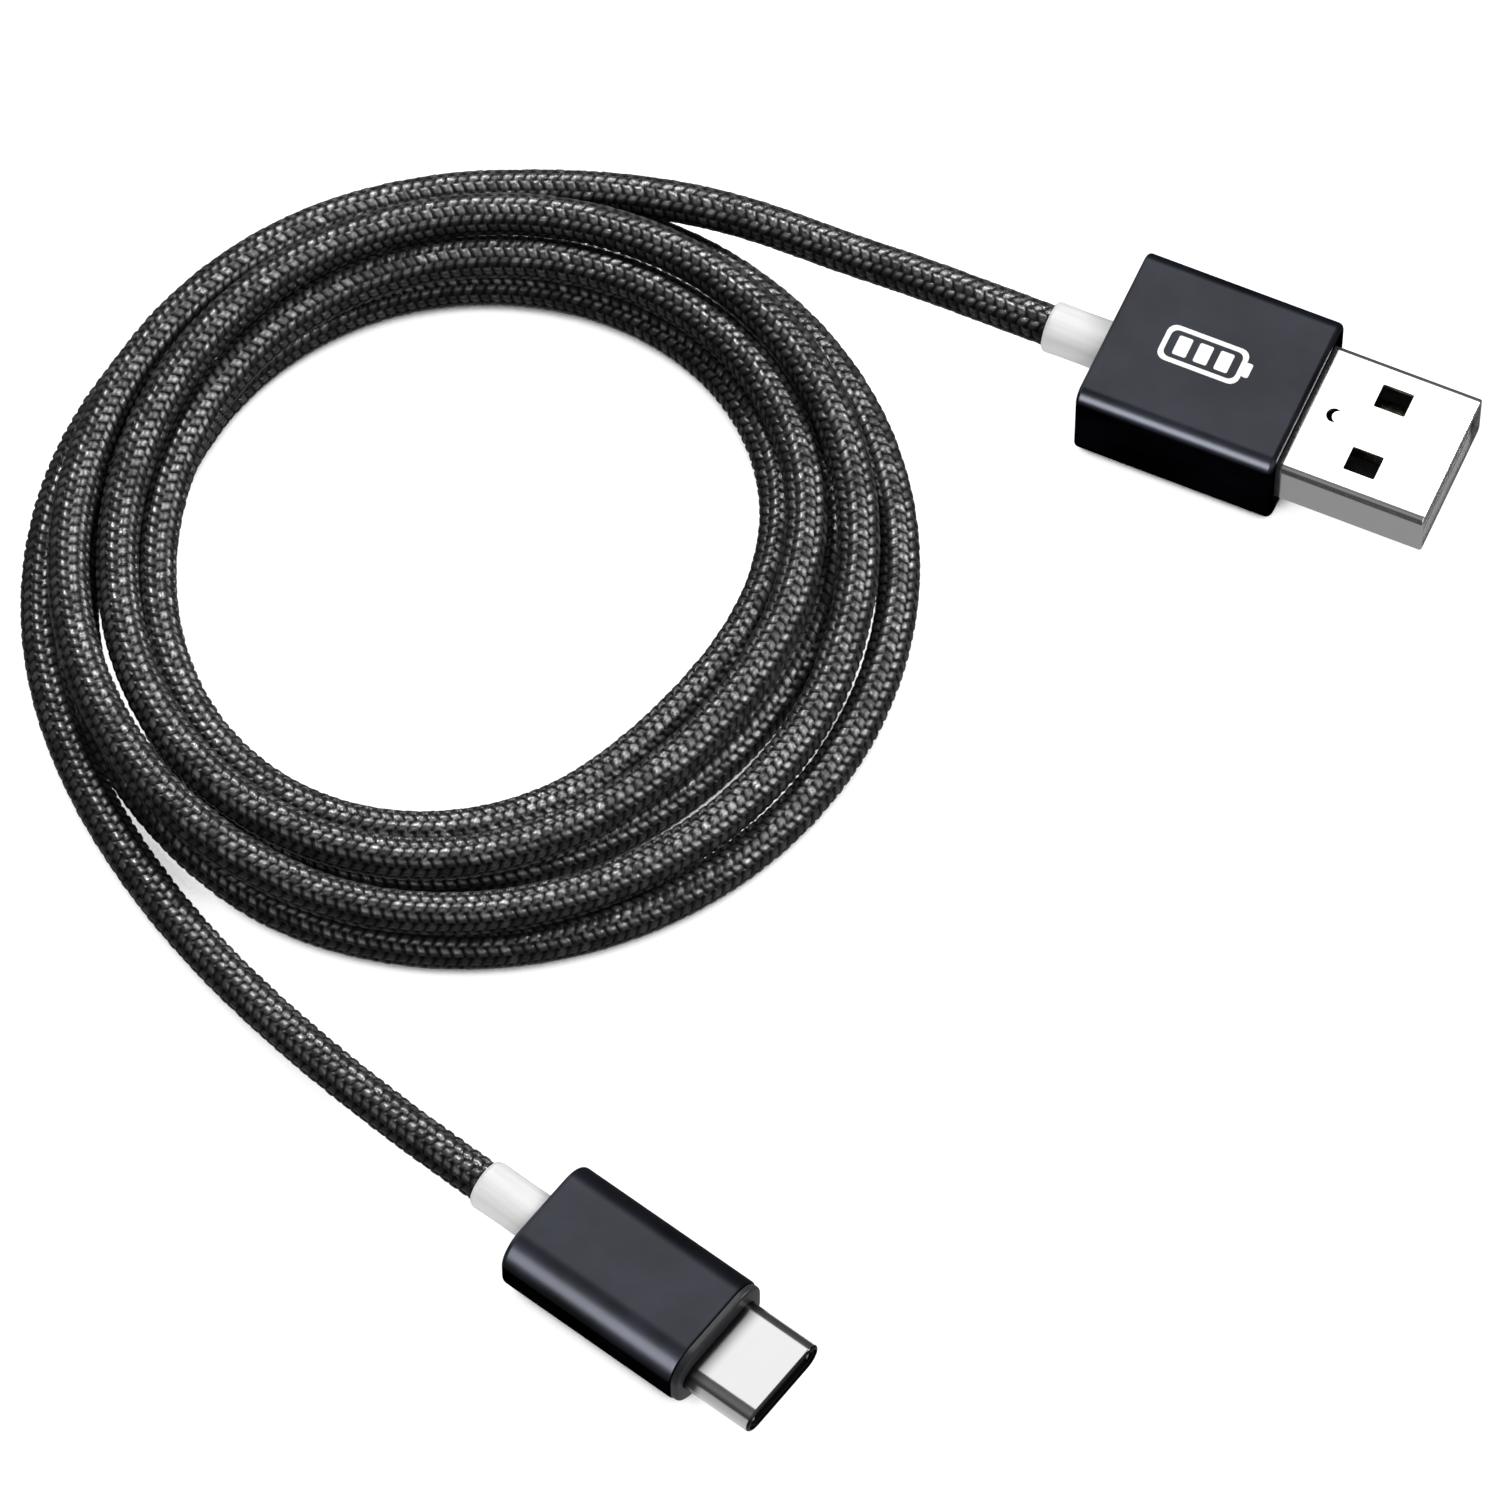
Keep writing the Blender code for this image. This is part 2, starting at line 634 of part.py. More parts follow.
def build_usb_a(line):
    """USB-A plug with its shell, insulator, contacts and wires."""
    plug = Plug(line, line.length - A_JOINTS[3], A_MOUTH, A_HEIGHT, A_YAW)
    front = A_RELIEF_LENGTH + A_HOUSING[0]
    tip = front + A_SHELL_REACH
    hole = (A_RELIEF_RADIUS + HOLE_CLEARANCE) / cos(pi / ROUND_SIDES)
    plug.place(relief("usb_a_relief", A_RELIEF_LENGTH, A_RELIEF_RADIUS, A_FLANGE_RADIUS))
    plug.place(ferrule("usb_a_ferrule", A_RELIEF_LENGTH))
    plug.place(housing("usb_a_housing", A_RELIEF_LENGTH, A_HOUSING, A_HOUSING_CORNER,
                       A_CAVITY, A_CAVITY_CORNER, hole))
    collar_length, collar_width, collar_height = A_COLLAR
    collar_end = front - A_COLLAR_RECESS
    room = 2 * PART_GAP
    plug.place(frame_tube("usb_a_collar", collar_end - collar_length, collar_end,
                          (collar_width, collar_height), A_COLLAR_CORNER,
                          (A_SHELL[1] + room, A_SHELL[2] + room), A_SHELL_CORNER, "black_plastic"))
    bore = (A_SHELL[1] - 2 * A_SHELL_WALL, A_SHELL[2] - 2 * A_SHELL_WALL)
    shell = plug.place(frame_tube("usb_a_shell", tip - A_SHELL[0], tip, A_SHELL[1:],
                                  A_SHELL_CORNER, bore, A_SHELL_CORNER - A_SHELL_WALL,
                                  "plated_steel"))
    cut_windows(shell, plug, tip)
    half = A_CARRIER_WIDTH / 2
    plug.place(box("usb_a_carrier", (A_CARRIER_START, -half, A_CARRIER_Z[0]),
                   (tip - A_CARRIER_RECESS, half, A_CARRIER_Z[1]), "black_plastic"))
    for index, side in enumerate(A_CONTACT_SIDES):
        low = (A_CONTACT_START, side - A_CONTACT_WIDTH / 2, A_CONTACT_Z[0])
        high = (tip - A_CONTACT_RECESS[index], side + A_CONTACT_WIDTH / 2, A_CONTACT_Z[1])
        plug.place(box(f"usb_a_contact_{index + 1}", low, high, "gold"))
    start = ferrule_start(A_RELIEF_LENGTH) + FERRULE_LENGTH + TAIL_CORE_EXTRA + PART_GAP
    wire_height = A_CONTACT_Z[1] + WIRE_RADIUS + SOLDER_GAP
    targets = [(side, wire_height) for side in A_CONTACT_SIDES]
    wires("usb_a", plug, start, A_CONTACT_START + WIRE_LAP, targets)


# ---------------------------------------------------------------- USB-C
def c_contact(name, side, place, tip):
    """Thin spring contact whose rounded tip leans into the slot."""
    thin, thick = C_CONTACT_Z
    bend, rise, fall = (tip - distance for distance in C_CONTACT_BENDS)
    outline = [(C_CONTACT_START, thin), (bend, thin), (rise, C_CONTACT_BUMP),
               (fall, C_CONTACT_BUMP), (tip, thin + C_CONTACT_TIP_LIFT), (tip, thick),
               (C_CONTACT_START, thick)]
    outline = [(x, side * z) for x, z in outline]
    y = place * C_CONTACT_PITCH
    half = C_CONTACT_WIDTH / 2
    return side_profile(name, outline, y - half, y + half, "gold")


def c_latch(name, side, tip):
    """Side latch spring with a hook near its tip."""
    inner, outer = C_LATCH_Y
    bend, hook, back = (tip - distance for distance in C_LATCH_BENDS)
    outline = [(C_LATCH_START, inner), (bend, inner), (hook, C_LATCH_HOOK),
               (back, C_LATCH_HOOK), (tip, inner), (tip, outer), (C_LATCH_START, outer)]
    low = [(x, side * y, -C_LATCH_HALF_HEIGHT) for x, y in outline]
    high = [(x, side * y, C_LATCH_HALF_HEIGHT) for x, y in outline]
    return ring_solid(name, [low, high], "plated_steel", closed=False)


def build_usb_c_springs(plug, tip):
    """Contact rows and side latches, each on the pivot of its own flexing root."""
    rows = (("upper", 1, C_UPPER_PLACES), ("lower", -1, C_LOWER_PLACES))
    middle = sum(C_CONTACT_Z) / 2
    for row, side, places in rows:
        pivot = (C_CONTACT_HINGE, 0.0, side * middle)
        for index, place in enumerate(places):
            name = f"usb_c_contact_{row}_{index + 1}"
            plug.place(c_contact(name, side, place, tip - C_CONTACT_TIP), pivot)
    for name, side in (("usb_c_latch_left", 1), ("usb_c_latch_right", -1)):
        pivot = (C_LATCH_HINGE, side * sum(C_LATCH_Y) / 2, 0.0)
        plug.place(c_latch(name, side, tip - C_INSERT_RECESS - PART_GAP), pivot)


def build_usb_c(line):
    """USB-C plug with its shell, insert, board, springs and wires."""
    plug = Plug(line, C_JOINTS[3], C_MOUTH, C_HEIGHT, C_YAW)
    front = C_RELIEF_LENGTH + C_HOUSING[0]
    tip = front + C_SHELL_REACH
    hole = (C_RELIEF_RADIUS + HOLE_CLEARANCE) / cos(pi / ROUND_SIDES)
    plug.place(relief("usb_c_relief", C_RELIEF_LENGTH, C_RELIEF_RADIUS, C_FLANGE_RADIUS))
    plug.place(ferrule("usb_c_ferrule", C_RELIEF_LENGTH))
    plug.place(housing("usb_c_housing", C_RELIEF_LENGTH, C_HOUSING, C_HOUSING_CORNER,
                       C_CAVITY, C_CAVITY_CORNER, hole))
    collar_length, collar_width, collar_height = C_COLLAR
    collar_end = front - C_COLLAR_RECESS
    shell_length, shell_width, shell_height = C_SHELL
    room = PART_GAP
    mouth = (shell_width + room, shell_height + room)
    plug.place(frame_tube("usb_c_collar", collar_end - collar_length, collar_end,
                          (collar_width, collar_height), C_COLLAR_CORNER,
                          mouth, mouth[1] / 2, "black_plastic"))
    bore = (shell_width - 2 * C_SHELL_WALL, shell_height - 2 * C_SHELL_WALL)
    plug.place(frame_tube("usb_c_shell", tip - shell_length, tip, (shell_width, shell_height),
                          shell_height / 2, bore, bore[1] / 2, "plated_steel",
                          C_SECTION_SEGMENTS))
    plug.place(frame_tube("usb_c_insert", tip - shell_length, tip - C_INSERT_RECESS, C_INSERT,
                          C_INSERT[1] / 2, C_SLOT, C_SLOT[1] / 2, "black_plastic",
                          C_SECTION_SEGMENTS))
    start, end, width, height = C_BOARD
    plug.place(box("usb_c_board", (start, -width / 2, -height / 2),
                   (end, width / 2, height / 2), "circuit_board"))
    surface = height / 2 + SOLDER_GAP
    start, end, width, height = C_RESISTOR
    plug.place(box("usb_c_resistor", (start, -width / 2, surface),
                   (end, width / 2, surface + height), "resistor_black"))
    start, end, width, height = C_CAN
    plug.place(frame_tube("usb_c_can", start, end, (width, height), C_CAN_CORNER,
                          (width - 2 * C_CAN_WALL, height - 2 * C_CAN_WALL),
                          C_CAN_CORNER - C_CAN_WALL, "tinned_copper"))
    build_usb_c_springs(plug, tip)
    start = ferrule_start(C_RELIEF_LENGTH) + FERRULE_LENGTH + TAIL_CORE_EXTRA + PART_GAP
    level = surface + WIRE_RADIUS
    targets = [(side * C_WIRE_SIDE, z) for side, z in ((-1, level), (-1, -level), (1, -level), (1, level))]
    wires("usb_c", plug, start, C_BOARD[0] + WIRE_LAP, targets)


def main():
    clear_scene()
    line = CableLine()
    tail_a = ferrule_start(A_RELIEF_LENGTH) + FERRULE_LENGTH
    tail_c = ferrule_start(C_RELIEF_LENGTH) + FERRULE_LENGTH
    build_cable(line, tail_a, tail_c)
    build_usb_a(line)
    build_usb_c(line)


main()
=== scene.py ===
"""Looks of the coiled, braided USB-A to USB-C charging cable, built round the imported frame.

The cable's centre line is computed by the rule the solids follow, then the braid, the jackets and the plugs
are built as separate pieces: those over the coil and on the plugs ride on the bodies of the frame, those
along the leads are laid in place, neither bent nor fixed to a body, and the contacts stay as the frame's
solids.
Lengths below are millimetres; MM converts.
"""

import json
from collections import namedtuple
from math import cos, pi, radians, sin

import bmesh
import bpy
import numpy as np
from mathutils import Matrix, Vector

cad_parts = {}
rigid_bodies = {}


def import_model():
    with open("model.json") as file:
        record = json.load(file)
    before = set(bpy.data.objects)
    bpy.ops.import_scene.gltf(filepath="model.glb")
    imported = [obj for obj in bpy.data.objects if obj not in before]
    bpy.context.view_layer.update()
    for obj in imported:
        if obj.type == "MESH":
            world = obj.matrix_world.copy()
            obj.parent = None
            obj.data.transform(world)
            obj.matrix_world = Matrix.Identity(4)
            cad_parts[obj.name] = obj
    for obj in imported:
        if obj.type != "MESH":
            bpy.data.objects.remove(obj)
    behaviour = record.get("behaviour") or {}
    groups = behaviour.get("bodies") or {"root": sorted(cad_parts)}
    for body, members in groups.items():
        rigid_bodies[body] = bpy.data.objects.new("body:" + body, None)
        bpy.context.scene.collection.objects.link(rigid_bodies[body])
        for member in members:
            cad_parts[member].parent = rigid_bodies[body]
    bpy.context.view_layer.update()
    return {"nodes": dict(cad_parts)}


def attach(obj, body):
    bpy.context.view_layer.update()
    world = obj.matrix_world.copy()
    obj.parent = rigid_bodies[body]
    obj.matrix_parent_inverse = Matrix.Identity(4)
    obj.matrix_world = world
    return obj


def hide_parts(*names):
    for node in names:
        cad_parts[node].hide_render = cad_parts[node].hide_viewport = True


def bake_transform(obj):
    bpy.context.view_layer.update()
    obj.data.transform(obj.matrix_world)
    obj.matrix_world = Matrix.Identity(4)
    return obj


MM = 0.001

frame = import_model()

# ---------------------------------------------------------------- cable lay
CABLE_RADIUS = 1.6
STRAND_CLEARANCE = 3.28
PATH_STEP = 0.8
COIL_SAMPLES = 2400
LEAD_SAMPLES = 200
TANGENT_REACH = 0.4
COIL_CENTRE = np.array([-21.272, 20.03])
COIL_TURNS = 5.28
COIL_START_ANGLE = radians(188.0)
LAY_TURNS = (0.0, 0.12, 0.62, 1.12, 1.62, 2.12, 2.62, 3.12, 3.62, 4.12, 4.62, 5.12, 5.28)
LAY_LEVELS = (1.05, 1.04, 0.97, 0.65, 0.42, 0.14, 0.01, 0.07, 0.3, 0.4, 0.74, 0.84, 0.97)
INNER_RADIUS = 23.28
INNER_SHIFT = 0.88
INNER_SHIFT_ANGLE = radians(129.0)
INNER_OVAL = 1.79
INNER_OVAL_ANGLE = radians(54.0)
INNER_THREE = 0.53
INNER_THREE_ANGLE = radians(12.0)
OUTER_RADIUS = 32.22
OUTER_SHIFT = 1.38
OUTER_SHIFT_ANGLE = radians(287.0)
OUTER_OVAL = 0.67
OUTER_OVAL_ANGLE = radians(65.0)
LEAD_PULL_COIL_A = 1.38
LEAD_PULL_PLUG_A = 1.01
LEAD_PULL_PLUG_C = 0.9
LEAD_PULL_COIL_C = 0.99
LIFT_TAPER = 30.0
DRAPE_RADIUS = 60.0
DRAPE_REACH = 30
DRAPE_SIGMA = 2.2
DRAPE_WINDOW = 7
DRAPE_ROUNDS = 14
RESTING_DISTANCE = 20.0
A_MOUTH = np.array([43.7, 19.65])
A_YAW = radians(-23.8)
A_HEIGHT = 3.95
C_MOUTH = np.array([1.85, -53.1])
C_YAW = radians(-37.9)
C_HEIGHT = 3.1
A_JOINTS = (25.0, 17.0, 9.5, 2.2)
C_JOINTS = (34.0, 24.0, 13.0, 2.5)
A_BODIES = ("coil", "lead_a1", "lead_a2", "lead_a3", "usb_a")
C_BODIES = ("coil", "lead_c1", "lead_c2", "lead_c3", "usb_c")
A_NODES = ("lead_a1", "lead_a2", "lead_a3", "usb_a_tail")
C_NODES = ("lead_c1", "lead_c2", "lead_c3", "usb_c_tail")

# ---------------------------------------------------------------- braid
STITCH_PITCH = 0.86
BRAID_COLUMNS = 12
STITCH_U = 4
STITCH_F = 8
STITCH_SLANT = 0.35
BRAID_FLOOR = 1.43
BRAID_HEIGHT = 0.20
BRAID_PLY_HEIGHT = 0.02
BRAID_PLIES = 2
FIBRES = 8
STITCH_SPREAD = 0.05
STITCH_TILT = 0.10
STITCH_SIDE_DROP = 0.45
STITCH_BRIDGE = 0.35
HASH_ROW = 7.31
HASH_COLUMN = 3.17
HASH_SCALE = 12.9898
HASH_GAIN = 43758.5453
LEAN_SEED = 5.7
BEND_REACH_A = 3.6
BEND_REACH_C = 4.8
BEND_INTO_PLUG = 0.7
COIL_SPLIT = 6.0
COIL_BRAID_PARTS = 5
JACKET_RADIUS = 1.18
JACKET_SIDES = 20
JACKET_STEP = 1.5
BRAID_INTO_PLUG = 1.2
JACKET_INTO_PLUG = 8.2

# ---------------------------------------------------------------- plugs, from the cable mouth forward
LEAST_CORNER = 0.02
HOUSING_WALL = 1.0
HOLE_CHAMFER = 0.15
EDGE_STEPS = 8
LIP_STEPS = 4
SHARP_ANGLE = 40.0
RELIEF_BORE = 1.70
RELIEF_MOUTH_INSIDE = ((0.35, 0.0), (0.05, 0.03), (0.0, 0.10))
RELIEF_MOUTH_OUTSIDE = ((0.02, 0.20), (0.12, 0.07), (0.32, 0.0))
RELIEF_WAIST = 0.035
RELIEF_WAIST_STEPS = 12
RELIEF_FLANGE = (1.1, 2.0, 0.1)
RELIEF_SIDES = 64
RELIEF_STREAK_STRETCH = 0.004

A_RELIEF = (5.0, 2.0, 2.75)
A_HOUSING = (16.0, 14.5, 7.9)
A_CORNER = 1.2
A_CAVITY = (12.9, 6.0, 0.6)
A_HOLE = 2.06
A_EDGE = 0.35
A_LIP = 0.45
A_BEZEL = ((12.7, 5.8, 0.5), (12.2, 4.7, 0.6))
A_BEZEL_BACK = 9.0
A_BEZEL_RECESS = 0.2
A_BEZEL_LIP = 0.15
A_SHELL_LENGTH = 20.7
A_SHELL = ((12.0, 4.5, 0.6), (11.4, 3.9, 0.3))
A_SHELL_WALL = 0.3
A_SHELL_LIP = 0.14
A_SHELL_REACH = 11.7
A_WINDOW = (2.5, 2.1, 0.12)
A_WINDOW_SIDE = 3.0
A_WINDOW_BACK = 6.0
A_MARK_BACK = 9.6
A_MARK_RADIUS = 0.62
A_MARK_INNER = 0.85
A_MARK_DEPTH = 0.38
A_MARK_POINTS = 15
CUT_SHARP_ANGLE = 25.0

C_RELIEF = (5.3, 1.95, 2.15)
C_HOUSING = (16.2, 10.1, 6.2)
C_CORNER = 2.4
C_CAVITY = (9.0, 4.9, 2.0)
C_HOLE = 2.01
C_EDGE = 0.45
C_LIP = 0.10
C_RING = ((9.9, 6.0, 2.3), (8.46, 2.68, 1.34))
C_RING_LENGTH = 0.55
C_RING_GAP = 0.07
C_RING_LIP = 0.22
C_SHELL_LENGTH = 11.85
C_SHELL = ((8.34, 2.56, 1.28), (7.84, 2.06, 1.03))
C_SHELL_LIP = 0.20
C_SHELL_REACH = 5.85
# painted light on the USB-C shell: shade over a reach from the ring in steps, level on the flats, a pale
# reflection in a band along the sides with its fade, shade at the rim
C_SHADE_REACH = 1.6
C_SHADE_STEPS = 8
C_FLAT_LEVEL = 0.48
C_SIDE_BAND = 0.95
C_SIDE_FADE = 0.20
C_RIM_REACH = 0.10
FINE_CORNER = 12

# print on the USB-A housing: battery outline (length, width, line, corner), terminal, bars
PRINT_PLACE = (12.4, 3.95)
PRINT_THICKNESS = 0.015
PRINT_FRAME = (6.6, 3.3, 0.40, 0.75)
PRINT_TERMINAL = (0.55, 1.3)
PRINT_BAR = (1.1, 1.75, 1.68)
PRINT_OVERLAP = 0.02
PRINT_BLOCK_CORNER = 0.15

# ---------------------------------------------------------------- camera, aimed beside the coil's middle
CAMERA_DISTANCE = 900.0
CAMERA_ELEVATION = radians(60.0)
CAMERA_OFFSET = np.array([21.04, -15.06])
CAMERA_FOCAL_RATIO = 16.14
CAMERA_SENSOR = 36.0
CAMERA_CLIP = (0.01, 20.0)

# ---------------------------------------------------------------- studio: heights and values, lights
SKY_STOPS = ((0.0, 0.28), (1.0, 0.10), (0.10, 0.27), (0.18, 0.05), (0.51, 0.03), (0.75, 0.06), (0.88, 0.25),
             (0.95, 0.22))
SKY_STRENGTH = 1.0
SKY_LOWEST = -1.0
FLOOR_HALF_SIZE = 3000.0
FLOOR_DROP = 0.05
FLOOR_COLOUR = 0.35
FLOOR_GLOW = 1.0
# painted shade on the floor in narrow gaps: occlusion samples, reach in metres, occlusion range over which it
# fades in
CREVICE_SAMPLES = 8
CREVICE_REACH = 0.0025
CREVICE_RANGE = (0.25, 0.42)
# name, direction, distance, size, power, pieces it lights: all, those named with a text, or (-) not with it
LIGHTS = (
    ("key_right", (0.76, 0.22, 0.61), 0.90, 0.30, 3.2, "-_case"),
    ("key_back", (-0.25, 0.68, 0.69), 0.90, 0.30, 3.2, "-_case"),
    ("softbox_back", (0.0, 0.50, 0.866), 1.20, 0.60, 2.0, "-_braid"),
    ("bead_right", (0.76, 0.22, 0.61), 0.90, 0.08, 11.0, "_braid"),
    ("bead_back_right", (0.50, 0.50, 0.70), 0.90, 0.08, 6.0, "_braid"),
    ("bead_back", (-0.25, 0.68, 0.69), 0.90, 0.08, 14.0, "_braid"),
    ("fill_front", (-0.10, -0.60, 0.80), 0.90, 0.60, 5.0, "_braid|_boot|_print"),
    ("edge_left", (-0.50, -0.74, 0.36), 0.80, 0.56, 12.0, "_case"),
    ("gleam_left_back", (-0.64, 0.64, 0.42), 0.90, 0.90, 2.2, "_plug_shell|_case"),
    ("gleam_right_front", (0.68, -0.68, 0.26), 0.90, 0.90, 2.2, "_plug_shell|_case"),
)


# ================================================================ centre line
def smooth_step(value):
    """Cubic ease from 0 to 1, clamped."""
    value = np.clip(value, 0.0, 1.0)
    return value * value * (3 - 2 * value)


def hermite(start, start_pull, end, end_pull, count):
    """Cubic curve between two points with given end tangents."""
    t = np.linspace(0, 1, count)[:, None]
    a = 2 * t**3 - 3 * t**2 + 1
    b = t**3 - 2 * t**2 + t
    c = -2 * t**3 + 3 * t**2
    d = t**3 - t**2
    return a * start + b * start_pull + c * end + d * end_pull


def lay_level(turns):
    """Radial level of the strand (0 inner edge, 1 outer edge) after some turns."""
    knots = np.array(LAY_TURNS)
    levels = np.array(LAY_LEVELS)
    slopes = np.gradient(levels, knots)
    cell = np.clip(np.searchsorted(knots, turns, "right") - 1, 0, len(knots) - 2)
    width = knots[cell + 1] - knots[cell]
    t = (turns - knots[cell]) / width
    rise = (2 * t**3 - 3 * t**2 + 1) * levels[cell] + (3 * t**2 - 2 * t**3) * levels[cell + 1]
    bend = (t**3 - 2 * t**2 + t) * slopes[cell] + (t**3 - t**2) * slopes[cell + 1]
    return rise + bend * width


def coil_plan():
    """Plan view of the coiled cable, clockwise from the USB-C side."""
    turns = np.linspace(0, COIL_TURNS, COIL_SAMPLES)
    angle = COIL_START_ANGLE - 2 * pi * turns
    inner = INNER_RADIUS + INNER_SHIFT * np.cos(angle - INNER_SHIFT_ANGLE)
    inner = inner + INNER_OVAL * np.cos(2 * (angle - INNER_OVAL_ANGLE))
    inner = inner + INNER_THREE * np.cos(3 * (angle - INNER_THREE_ANGLE))
    outer = OUTER_RADIUS + OUTER_SHIFT * np.cos(angle - OUTER_SHIFT_ANGLE)
    outer = outer + OUTER_OVAL * np.cos(2 * (angle - OUTER_OVAL_ANGLE))
    radius = inner + (outer - inner) * lay_level(turns)
    return np.stack([radius * np.cos(angle), radius * np.sin(angle)], axis=-1)


def cable_plan():
    """Plan view of the whole cable at an even step: points and distances."""
    coil = coil_plan()
    start = (coil[1] - coil[0]) / np.linalg.norm(coil[1] - coil[0])
    end = (coil[-1] - coil[-2]) / np.linalg.norm(coil[-1] - coil[-2])
    reach_c = np.linalg.norm(coil[0] - C_MOUTH)
    reach_a = np.linalg.norm(A_MOUTH - coil[-1])
    out_c = -np.array([cos(C_YAW), sin(C_YAW)])
    out_a = np.array([cos(A_YAW), sin(A_YAW)])
    lead_c = hermite(C_MOUTH, out_c * reach_c * LEAD_PULL_PLUG_C,
                     coil[0], start * reach_c * LEAD_PULL_COIL_C, LEAD_SAMPLES)
    lead_a = hermite(coil[-1], end * reach_a * LEAD_PULL_COIL_A,
                     A_MOUTH, out_a * reach_a * LEAD_PULL_PLUG_A, LEAD_SAMPLES)
    points = np.vstack([lead_c[:-1], coil, lead_a[1:]])
    gaps = np.linalg.norm(np.diff(points, axis=0), axis=1)
    along = np.concatenate([[0.0], np.cumsum(gaps)])
    even = np.linspace(0, along[-1], int(round(along[-1] / PATH_STEP)) + 1)
    plan = np.stack([np.interp(even, along, points[:, axis]) for axis in range(2)], axis=-1)
    return plan, even


def widen(values):
    """Raise neighbours so that the line drapes over a hump with a limited bend."""
    steps = np.arange(-DRAPE_REACH, DRAPE_REACH + 1)
    drop = (steps * PATH_STEP) ** 2 / (2 * DRAPE_RADIUS)
    padded = np.pad(values, DRAPE_REACH, mode="edge")
    shifted = [padded[i:i + len(values)] - drop[i] for i in range(len(steps))]
    return np.max(shifted, axis=0)


def blur(values, weights):
    """Weighted moving average that keeps the length."""
    half = len(weights) // 2
    padded = np.pad(values, half, mode="edge")
    return np.convolve(padded, weights / weights.sum(), mode="valid")


def lay_heights(plan, along):
    """Centre-line height: each strand rests on the floor or on earlier strands."""
    apart = np.linalg.norm(plan[:, None] - plan[None, :], axis=-1)
    later = (along[:, None] - along[None, :]) > RESTING_DISTANCE
    crossing = (apart < STRAND_CLEARANCE) & later
    rise = np.sqrt(np.maximum(STRAND_CLEARANCE**2 - apart**2, 0.0))
    lift = np.where(crossing, rise, -np.inf)
    floor = np.full(len(along), CABLE_RADIUS)
    floor = floor + smooth_step(1 - along / C_JOINTS[0]) * (C_HEIGHT - CABLE_RADIUS)
    floor = floor + smooth_step(1 - (along[-1] - along) / LIFT_TAPER) * (A_HEIGHT - CABLE_RADIUS)
    offsets = np.arange(-3 * DRAPE_WINDOW, 3 * DRAPE_WINDOW + 1) * PATH_STEP
    bell = np.exp(-offsets**2 / (2 * DRAPE_SIGMA**2))
    flat = np.ones(DRAPE_WINDOW)
    height = floor
    for _ in range(DRAPE_ROUNDS):
        need = np.maximum(floor, (height[None, :] + lift).max(axis=1))
        soft = widen(need)
        soft = np.maximum(blur(soft, bell), need)
        height = np.maximum(blur(soft, flat), floor)
    return height


def catmull(points, along, s):
    """Smooth positions on an evenly spaced line at distances s."""
    step = along[1] - along[0]
    last = len(points) - 1
    place = np.clip(s / step, 0, last)
    cell = np.minimum(place.astype(int), last - 1)
    t = (place - cell)[:, None]
    p0, p1, p2, p3 = (points[np.clip(cell + shift, 0, last)] for shift in (-1, 0, 1, 2))
    return 0.5 * (2 * p1 + (p2 - p0) * t + (2 * p0 - 5 * p1 + 4 * p2 - p3) * t**2
                  + (3 * p1 - p0 - 3 * p2 + p3) * t**3)


class CableLine:
    """Centre line of the cable with straight run-outs into both plugs."""

    def __init__(self):
        plan, self.along = cable_plan()
        self.points = np.column_stack([plan + COIL_CENTRE, lay_heights(plan, self.along)])
        self.length = float(self.along[-1])
        self.ends = (self.direction(0.0), self.direction(self.length))

    def direction(self, s):
        """Unit vector along the cable at one distance."""
        low = max(s - PATH_STEP, 0.0)
        high = min(s + PATH_STEP, self.length)
        ends = catmull(self.points, self.along, np.array([low, high]))
        return (ends[1] - ends[0]) / np.linalg.norm(ends[1] - ends[0])

    def frames(self, s):
        """Centre, sideways and upward directions at an array of distances."""
        s = np.asarray(s, float)
        inside = np.clip(s, 0.0, self.length)
        centre = catmull(self.points, self.along, inside)
        before = np.minimum(s, 0.0)[:, None] * self.ends[0]
        after = np.maximum(s - self.length, 0.0)[:, None] * self.ends[1]
        ahead = catmull(self.points, self.along, np.clip(inside + TANGENT_REACH, 0, self.length))
        behind = catmull(self.points, self.along, np.clip(inside - TANGENT_REACH, 0, self.length))
        tangent = ahead - behind
        tangent /= np.linalg.norm(tangent, axis=1)[:, None]
        across = np.cross(tangent, (0.0, 0.0, 1.0))
        across /= np.linalg.norm(across, axis=1)[:, None]
        up = np.cross(across, tangent)
        return centre + before + after, across, up


# ================================================================ materials
def socket(node, *names):
    """The first input of a shader node that exists under one of these names."""
    for name in names:
        if name in node.inputs:
            return node.inputs[name]
    raise KeyError(names)


